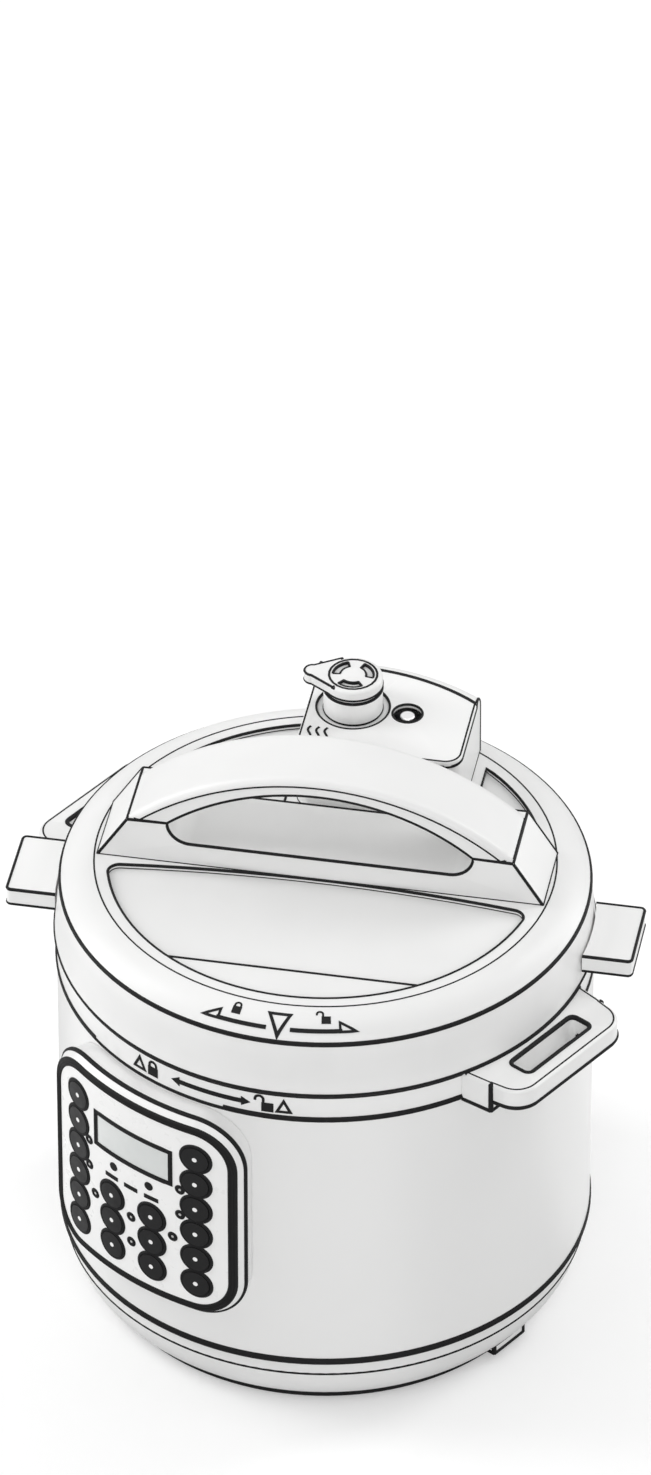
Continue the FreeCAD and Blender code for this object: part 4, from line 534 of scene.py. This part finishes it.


# Seam and edge lines, taken from the frame's own edges: dark beads that are painted shadow where they lie in
# seams between parts, and dark outlines on other sharp edges and rims

# Edges that bend by more than SHARP are lined. A face is flat where it looks a given way to within FLAT.
SHARP = math.radians(32)
FLAT = math.cos(math.radians(2))
# A line is a bead, sunk into its edge by this share of its half width.
SINK = 0.55
BEAD_ROUNDING = 1
# An edge needs this much free room before it, seen from a place that stands off it a little.
CLEAR = 6
STAND_OFF = 0.4
RIM_WIDTH = 1.3
RIM_FACING = {
    # node: the way that its flat face looks, whose rim is lined
    "lid_cover": UP,
    "handle_cover": LID_AXES @ Vector((0, -1, 0)),
    "tower_cap": UP,
    "handle_right": UP,
    "handle_left": UP,
    "heating_plate": UP,
}
LINE_WIDTHS = {
    # node: width of the lines on its sharp edges
    "lid_skirt": 2.2,
    "lid_cover": 1.7,
    "handle_cover": 1.7,
    "tower_cap": 1.4,
    "steam_release_knob": 1.4,
    "lid_fin_right": 1.8,
    "lid_fin_left": 1.8,
    "cooking_chamber": 2.0,
    "upper_collar": 3.0,
    "handle_right": 2.8,
    "handle_left": 2.8,
    "bayonet_ring": 2.4,
    "panel_bezel": 2.8,
    "panel_fascia": 2.6,
    "housing_sleeve": 2.6,
    "bottom_cover": 2.6,
}
# The base's band: its radius, the height of its lower edge and the width of the line there
BAND_RADIUS, BAND_LOW, BAND_LINE = 138, 31, 1.8
RING_STEPS = 128


def solid_mesh(name):
    """A node's mesh with its split corners joined."""
    bm = bmesh.new()
    bm.from_mesh(NODES[name].data)
    bmesh.ops.remove_doubles(bm, verts=bm.verts, dist=WELD * MM)
    bm.normal_update()
    bm.verts.index_update()
    return bm


def body_tree(body):
    """One search tree over the nodes of a body."""
    whole = bmesh.new()
    for name, thing in NODES.items():
        if BODY_OF[name] == body:
            whole.from_mesh(thing.data)
    tree = BVHTree.FromBMesh(whole)
    whole.free()
    return tree


def outward(edge):
    """The way that an edge looks, between its faces."""
    return sum((face.normal for face in edge.link_faces), Vector()).normalized()


def is_sharp(edge):
    """Whether an edge bends enough for a line."""
    return edge.calc_face_angle(0) > SHARP


def at_rim(facing):
    """A test for edges where a flat face that looks that way ends."""

    def test(edge):
        first, second = (face.normal.dot(facing) > FLAT for face in edge.link_faces)
        return first != second

    return test


def is_free(tree, place, way, *reach):
    """Whether a straight way from a place meets nothing of the body, within a reach if one is given."""
    return tree.ray_cast(place + way * STAND_OFF * MM, way, *reach)[0] is None


def open_edges(bm, tree, wanted):
    """The wanted edges with free room before them and a straight way out, each with its outward way."""
    found = {}
    for edge in bm.edges:
        if len(edge.link_faces) != 2 or not wanted(edge):
            continue
        way = outward(edge)
        middle = (edge.verts[0].co + edge.verts[1].co) / 2
        if not way.length or not is_free(tree, middle, way, CLEAR * MM):
            continue
        ways_out = [way, (way + UP).normalized()] + [face.normal for face in edge.link_faces]
        if any(is_free(tree, middle, out) for out in ways_out):
            found[edge] = way
    return found


def chains(found):
    """Runs of joined edges, each a list of vertices and whether it closes."""
    links = {}
    for edge in found:
        for vert in edge.verts:
            links.setdefault(vert, []).append(edge)
    left = set(found)
    starts = sorted(links, key=lambda vert: (len(links[vert]) == 2, vert.index))
    for start in starts:
        for first in links[start]:
            if first not in left:
                continue
            left.discard(first)
            run = [start, first.other_vert(start)]
            while len(links[run[-1]]) == 2:
                onward = [edge for edge in links[run[-1]] if edge in left]
                if not onward:
                    break
                left.discard(onward[0])
                run.append(onward[0].other_vert(run[-1]))
            closed = run[0] is run[-1] and len(run) > 2
            yield (run[:-1] if closed else run), closed


def line_piece(name, body, width, runs, trim):
    """Round beads of that width along runs of points, each open or closed, as one piece."""
    curve = bpy.data.curves.new(name, "CURVE")
    curve.dimensions = "3D"
    curve.bevel_depth = width / 2 * MM
    curve.bevel_resolution = BEAD_ROUNDING
    curve.use_fill_caps = True
    curve.materials.append(trim)
    for places, closed in runs:
        spline = curve.splines.new("POLY")
        spline.points.add(len(places) - 1)
        for point, place in zip(spline.points, places):
            point.co = (*place, 1)
        spline.use_cyclic_u = closed
    piece = add_object(name, curve)
    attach(piece, body)


def line_edges(name, body, width, found, trim):
    """Beads along the found edges, sunk into the piece that carries them."""
    ways = {}
    for edge, way in found.items():
        for vert in edge.verts:
            ways[vert] = ways.get(vert, Vector()) + way
    depth = width / 2 * SINK * MM
    runs = []
    for run, closed in chains(found):
        runs.append(([vert.co - ways[vert].normalized() * depth for vert in run], closed))
    if runs:
        line_piece(name, body, width, runs, trim)


# Beads that fall in seams between parts are painted shadow in those gaps.
def make_lines(trim):
    """Lines on sharp edges, and finer ones where a flat face meets a rounding."""
    names = list(LINE_WIDTHS) + [name for name in RIM_FACING if name not in LINE_WIDTHS]
    trees = {body: body_tree(body) for body in {BODY_OF[name] for name in names}}
    for name in names:
        body = BODY_OF[name]
        bm = solid_mesh(name)
        if name in LINE_WIDTHS:
            found = open_edges(bm, trees[body], is_sharp)
            line_edges(f"{name}_lines", body, LINE_WIDTHS[name], found, trim)
        if name in RIM_FACING:
            found = open_edges(bm, trees[body], at_rim(RIM_FACING[name]))
            if name in LINE_WIDTHS:
                found = {edge: way for edge, way in found.items() if not is_sharp(edge)}
            line_edges(f"{name}_rim_lines", body, RIM_WIDTH, found, trim)
        bm.free()


def make_band_line(trim):
    """A line round the lower edge of the base's band."""
    radius = (BAND_RADIUS - BAND_LINE / 2 * SINK) * MM
    ring = [around(2 * math.pi * n / RING_STEPS, radius, BAND_LOW * MM) for n in range(RING_STEPS)]
    line_piece("band_line", "base", BAND_LINE, [(ring, True)], trim)


# Surfaces that carry marks: each turns a place on it into a point, a little proud of it

# Radius of the middle of the lid's shoulder, and how far inwards one millimetre up its slope leads
SHOULDER_MIDDLE = 129
SHOULDER_SLOPE = 0.87
# The fill mark faces the camera from the pot's far wall.
FILL_MARK_HEIGHT = 170
FILL_MARK_ANGLE = CAMERA_AZIMUTH + math.pi


def on_panel(radius):
    """Points of a panel face of that radius, from the distance beside its middle line and the height."""

    def point(beside, up, out):
        depth = math.sqrt(radius ** 2 - beside ** 2)
        return Vector((beside, -depth, up)) + Vector((beside, -depth, 0)) * (out / radius)

    return point


def on_collar(along, up, out):
    """A point of the collar's side, from the arc length along it and the height."""
    return around(along / BODY_RADIUS, BODY_RADIUS + out, up)


def on_shoulder():
    """Points of the lid's rounded shoulder, from arc lengths along it and up from its middle."""
    tree = BVHTree.FromObject(NODES["lid_cover"], bpy.context.evaluated_depsgraph_get())

    def point(along, up, out):
        radius = (SHOULDER_MIDDLE - up * SHOULDER_SLOPE) * MM
        above = around(LID_TURN + along / SHOULDER_MIDDLE, radius, CAD_BOX[1].z)
        place, normal, _, _ = tree.ray_cast(above, DOWN)
        return place / MM + normal * out

    return point


def on_tower(along, across, out):
    """A point of the valve tower's flat top, in the lid's own directions."""
    return LID_AXES @ Vector((along, across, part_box("tower_cap")[1].z / MM + out))


def on_crown():
    """Points of the knob's flat top, beside its axis."""
    low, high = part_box("vent_pipe")
    axis = (low + high) / 2 / MM
    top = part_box("steam_release_knob")[1].z / MM

    def point(along, across, out):
        return Vector((axis.x + along, axis.y + across, top + out))

    return point


def on_pot(along, up, out):
    """A point of the pot's inner wall, along it as seen from inside and up from the fill mark's foot."""
    return around(FILL_MARK_ANGLE - along / POT_INSIDE, POT_INSIDE - out, FILL_MARK_HEIGHT + up)


# Flat shapes, each a list of outlines

# Lines are cut into steps no longer than this, so that they follow a curved face.
MARK_STEP = 2.5
ROUND_STEPS = 24
BOW_STEPS = 12
# The least cosine that a mitre's length is divided by, which keeps sharp corners short
MITRE_LIMIT = 0.4
# Half the width of an arrow's head, as a share of its length
HEAD_HALF = 0.6
# Shares of a lock's size: its half width and top, and the line, the rise and the free leg of its shackle
LOCK_HALF, LOCK_TOP, LOCK_LINE = 0.32, 0.08, 0.14
SHUT_RISE, OPEN_RISE, FREE_LEG = 0.12, 0.2, 0.1
# Radius of the shackle's bow, as a share of the body's half width
LOCK_BOW = 0.68


def arc(middle, radius, start, end, steps=ROUND_STEPS):
    """Points of an arc between two angles in degrees."""
    angles = [math.radians(start + (end - start) * n / steps) for n in range(steps + 1)]
    return [(middle[0] + radius * math.cos(a), middle[1] + radius * math.sin(a)) for a in angles]


def circle(middle, radius):
    """A round outline."""
    return arc(middle, radius, 0, 360)[:-1]


def box_outline(left, right, low, high):
    """An oblong outline."""
    return [(left, low), (right, low), (right, high), (left, high)]


def divided(points, closed):
    """The same line with points no further apart than one step."""
    points = [Vector(p) for p in points]
    ends = points[1:] + points[:1] if closed else points[1:]
    fine = []
    for a, b in zip(points, ends):
        pieces = max(1, math.ceil((b - a).length / MARK_STEP))
        fine += [a.lerp(b, n / pieces) for n in range(pieces)]
    return fine if closed else fine + points[-1:]


def stroke(points, width, closed=False):
    """Four-cornered pieces along a line, mitred at its corners."""
    line = divided(points, closed)
    last = len(line) - 1
    sides = []
    for n, here in enumerate(line):
        ways = []
        if closed or n > 0:
            ways.append((here - line[n - 1]).normalized())
        if closed or n < last:
            ways.append((line[(n + 1) % len(line)] - here).normalized())
        normals = [Vector((-way.y, way.x)) for way in ways]
        across = sum(normals, Vector((0, 0))).normalized()
        across *= width / 2 / max(MITRE_LIMIT, across.dot(normals[0]))
        sides.append((here - across, here + across))
    pairs = zip(sides, sides[1:] + sides[:1]) if closed else zip(sides, sides[1:])
    return [[a[0], b[0], b[1], a[1]] for a, b in pairs]


def triangle(middle, size, width, up):
    """An outlined triangle that points up or down."""
    u, v = middle
    tip = size / 2 if up else -size / 2
    corners = [(u - size / 2, v - tip), (u + size / 2, v - tip), (u, v + tip)]
    return stroke(corners if up else corners[::-1], width, closed=True)


def padlock(middle, size, shut):
    """A solid lock body with its shackle, closed over the body or swung off to the left on one leg."""
    u, v = middle
    half, top = size * LOCK_HALF, v + size * LOCK_TOP
    bow = half * LOCK_BOW
    hinge = u if shut else u - 2 * bow
    rise = top + size * (SHUT_RISE if shut else OPEN_RISE)
    free = top if shut else rise - size * FREE_LEG
    shackle = [(hinge + bow, top)] + arc((hinge, rise), bow, 0, 180, BOW_STEPS) + [(hinge - bow, free)]
    return [box_outline(u - half, u + half, v - size / 2, top)] + stroke(shackle, size * LOCK_LINE)


def double_arrow(left, right, height, width, head):
    """A level arrow with a solid head at both ends."""
    shaft = stroke([(left + head, height), (right - head, height)], width)
    half = head * HEAD_HALF
    heads = [
        [(left, height), (left + head, height - half), (left + head, height + half)],
        [(right, height), (right - head, height + half), (right - head, height - half)],
    ]
    return shaft + heads


# Marks: thin raised pieces on those surfaces

MARK_THICK = 0.6
# How far a mark stands proud: on most faces, on the keys and in the pot, and on the knob's crown
MARK_PROUD, LOW_PROUD, CROWN_PROUD = 0.25, 0.1, 0.15

# Control panel: places beside its middle line and up from the foot
WINDOW_HALF, WINDOW_LOW, WINDOW_HIGH, WINDOW_LINE = 25.5, 157, 178, 2.6
LENSES = [
    (-31, 155.4), (31, 155.4), (-31, 138.6), (31, 138.6),
    (-26.5, 121.8), (26.5, 121.8), (0, 121.8), (0, 105),
]
LENS_RING, LENS_LINE = 1.9, 1.1
LAMP_DOTS = [(-12, 149), (12, 149)]
LAMP_DOT = 2.6
LABEL_BARS = [(-13.5, 141.6), (0, 141.6), (13.5, 141.6)]
BAR_HALF, BAR_LINE = 4.5, 2.6
KEY_DOT = 1.3

# Collar: places along it from the front and up from the foot
COLLAR_LEVEL, COLLAR_LOCK_LEVEL = 213.5, 214
COLLAR_SHUT_SIGN, COLLAR_SHUT_LOCK = -6, 3
COLLAR_OPEN_SIGN, COLLAR_OPEN_LOCK = 77.5, 69
COLLAR_ARROW_LEFT, COLLAR_ARROW_RIGHT = 15, 60
COLLAR_SIGN, COLLAR_LOCK, COLLAR_HEAD = 7, 10, 5
COLLAR_SIGN_LINE, COLLAR_ARROW_LINE = 1.5, 2.8

# Lid: places along its shoulder from the lid's front and up from the shoulder's middle
LID_POINTER, LID_POINTER_LEVEL, LID_POINTER_LINE = 11, -2.5, 1.7
LID_ARROW_NEAR, LID_ARROW_FAR, LID_ARROW_LEVEL, LID_ARROW_LINE = 6, 32, -5, 2.0
LID_HEAD_BACK, LID_HEAD_TIP, LID_HEAD_LOW, LID_HEAD_HIGH, LID_HEAD_LINE = 31, 39, -5.4, -0.6, 1.3
LID_LOCK, LID_LOCK_LEVEL, LID_SHUT_LOCK, LID_OPEN_LOCK = 7.5, 2.5, -23, 24

# Valve tower and knob: places in the lid's directions, and beside the knob's axis
WISPS = 3
WISP_LEFT, WISP_PITCH, WISP_SWAY, WISP_LOW, WISP_TALL = -18.5, 4.4, 1.1, 47.5, 11
KNOB_RING = 12.6
FINE_LINE = 1.2

# Pot's fill mark: a dash, a two, a slash and a three, along the wall and up from the mark's foot
FILL_DASH = [(-14, 5.5), (-2, 5.5)]
TWO_MIDDLE, TWO_RADIUS, TWO_FOOT = (6, 8), 3, [(3, 0), (9.2, 0)]
FILL_SLASH = [(12.5, -1), (16.5, 12)]
THREE_HIGH, THREE_LOW, THREE_RADIUS = (23, 8.2), (23, 2.8), 2.8


def lay(name, body, slot, finishes, surface, shapes, proud=MARK_PROUD):
    """Flat shapes wrapped on a surface as one thin raised piece."""
    bm = bmesh.new()
    for outline in shapes:
        bm.faces.new([bm.verts.new(surface(p[0], p[1], proud) * MM) for p in outline])
    bmesh.ops.remove_doubles(bm, verts=bm.verts, dist=WELD * MM)
    mesh = bpy.data.meshes.new(name)
    bm.to_mesh(mesh)
    bm.free()
    mesh.materials.append(finishes[slot])
    piece = add_object(name, mesh)
    thickness = piece.modifiers.new("thickness", "SOLIDIFY")
    thickness.thickness = MARK_THICK * MM
    thickness.offset = -1
    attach(piece, body)


def make_panel_print(finishes):
    """The window's frame, the rings round the lenses, two dots and three bars."""
    window = box_outline(-WINDOW_HALF, WINDOW_HALF, WINDOW_LOW, WINDOW_HIGH)
    shapes = stroke(window, WINDOW_LINE, closed=True)
    for place in LENSES:
        shapes += stroke(circle(place, LENS_RING), LENS_LINE, closed=True)
    shapes += [circle(place, LAMP_DOT) for place in LAMP_DOTS]
    for beside, up in LABEL_BARS:
        shapes += stroke([(beside - BAR_HALF, up), (beside + BAR_HALF, up)], BAR_LINE)
    lay("panel_print", "base", "dark_trim", finishes, on_panel(FACE_RADIUS), shapes)


def make_key_dots(finishes):
    """A pale dot in the middle of each key."""
    front = on_panel(KEY_FRONT)
    for name in NODES:
        if not name.startswith("key_") or name == "key_switches":
            continue
        low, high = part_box(name)
        middle = (low + high) / 2 / MM
        spot = circle((middle.x, middle.z), KEY_DOT)
        lay(f"{name}_dot", BODY_OF[name], "fascia_film", finishes, front, [spot], proud=LOW_PROUD)


def make_collar_print(finishes):
    """Closed and open signs with a double arrow between them."""
    shapes = double_arrow(COLLAR_ARROW_LEFT, COLLAR_ARROW_RIGHT, COLLAR_LEVEL, COLLAR_ARROW_LINE, COLLAR_HEAD)
    for along in (COLLAR_SHUT_SIGN, COLLAR_OPEN_SIGN):
        shapes += triangle((along, COLLAR_LEVEL), COLLAR_SIGN, COLLAR_SIGN_LINE, up=True)
    shapes += padlock((COLLAR_SHUT_LOCK, COLLAR_LOCK_LEVEL), COLLAR_LOCK, shut=True)
    shapes += padlock((COLLAR_OPEN_LOCK, COLLAR_LOCK_LEVEL), COLLAR_LOCK, shut=False)
    lay("collar_print", "base", "dark_trim", finishes, on_collar, shapes)


def make_lid_print(finishes):
    """A pointing triangle between two arrows, with a closed lock at the left and an open one at the right."""
    shapes = triangle((0, LID_POINTER_LEVEL), LID_POINTER, LID_POINTER_LINE, up=False)
    for side in (-1, 1):
        shaft = [(side * LID_ARROW_NEAR, LID_ARROW_LEVEL), (side * LID_ARROW_FAR, LID_ARROW_LEVEL)]
        head = [
            (side * LID_HEAD_TIP, LID_HEAD_LOW),
            (side * LID_HEAD_BACK, LID_HEAD_LOW),
            (side * LID_HEAD_BACK, LID_HEAD_HIGH),
        ]
        shapes += stroke(shaft, LID_ARROW_LINE) + stroke(head, LID_HEAD_LINE, closed=True)
    shapes += padlock((LID_SHUT_LOCK, LID_LOCK_LEVEL), LID_LOCK, shut=True)
    shapes += padlock((LID_OPEN_LOCK, LID_LOCK_LEVEL), LID_LOCK, shut=False)
    lay("lid_print", "lid", "dark_trim", finishes, on_shoulder(), shapes)


def make_tower_print(finishes):
    """Three rising wisps of steam beside the knob."""
    shapes = []
    steps = [k / ROUND_STEPS for k in range(ROUND_STEPS + 1)]
    for n in range(WISPS):
        left = WISP_LEFT + WISP_PITCH * n
        wisp = [(left + WISP_SWAY * math.sin(2 * math.pi * k), WISP_LOW + WISP_TALL * k) for k in steps]
        shapes += stroke(wisp, FINE_LINE)
    lay("tower_print", "lid", "dark_trim", finishes, on_tower, shapes)


def make_knob_print(finishes):
    """A ring round the slots of the knob's crown."""
    ring = stroke(circle((0, 0), KNOB_RING), FINE_LINE, closed=True)
    lay("knob_print", "knob", "dark_trim", finishes, on_crown(), ring, proud=CROWN_PROUD)


def make_fill_mark(finishes):
    """A level line with a plain fraction on the pot's far wall."""
    two = arc(TWO_MIDDLE, TWO_RADIUS, start=170, end=-40, steps=BOW_STEPS) + TWO_FOOT
    three = arc(THREE_HIGH, THREE_RADIUS, start=160, end=-90, steps=BOW_STEPS)
    three += arc(THREE_LOW, THREE_RADIUS, start=90, end=-160, steps=BOW_STEPS)[1:]
    shapes = []
    for line in (FILL_DASH, two, FILL_SLASH, three):
        shapes += stroke(line, FINE_LINE)
    lay("pot_fill_mark", "pot", "spring_steel", finishes, on_pot, shapes, proud=LOW_PROUD)


bpy.context.scene.view_settings.view_transform = "Standard"
make_camera()
make_world()
make_floor()
make_lamps()
finishes = make_finishes()
dress_nodes(finishes)
make_spring()
make_lines(finishes["dark_trim"])
make_band_line(finishes["dark_trim"])
make_panel_print(finishes)
make_key_dots(finishes)
make_collar_print(finishes)
make_lid_print(finishes)
make_tower_print(finishes)
make_knob_print(finishes)
make_fill_mark(finishes)
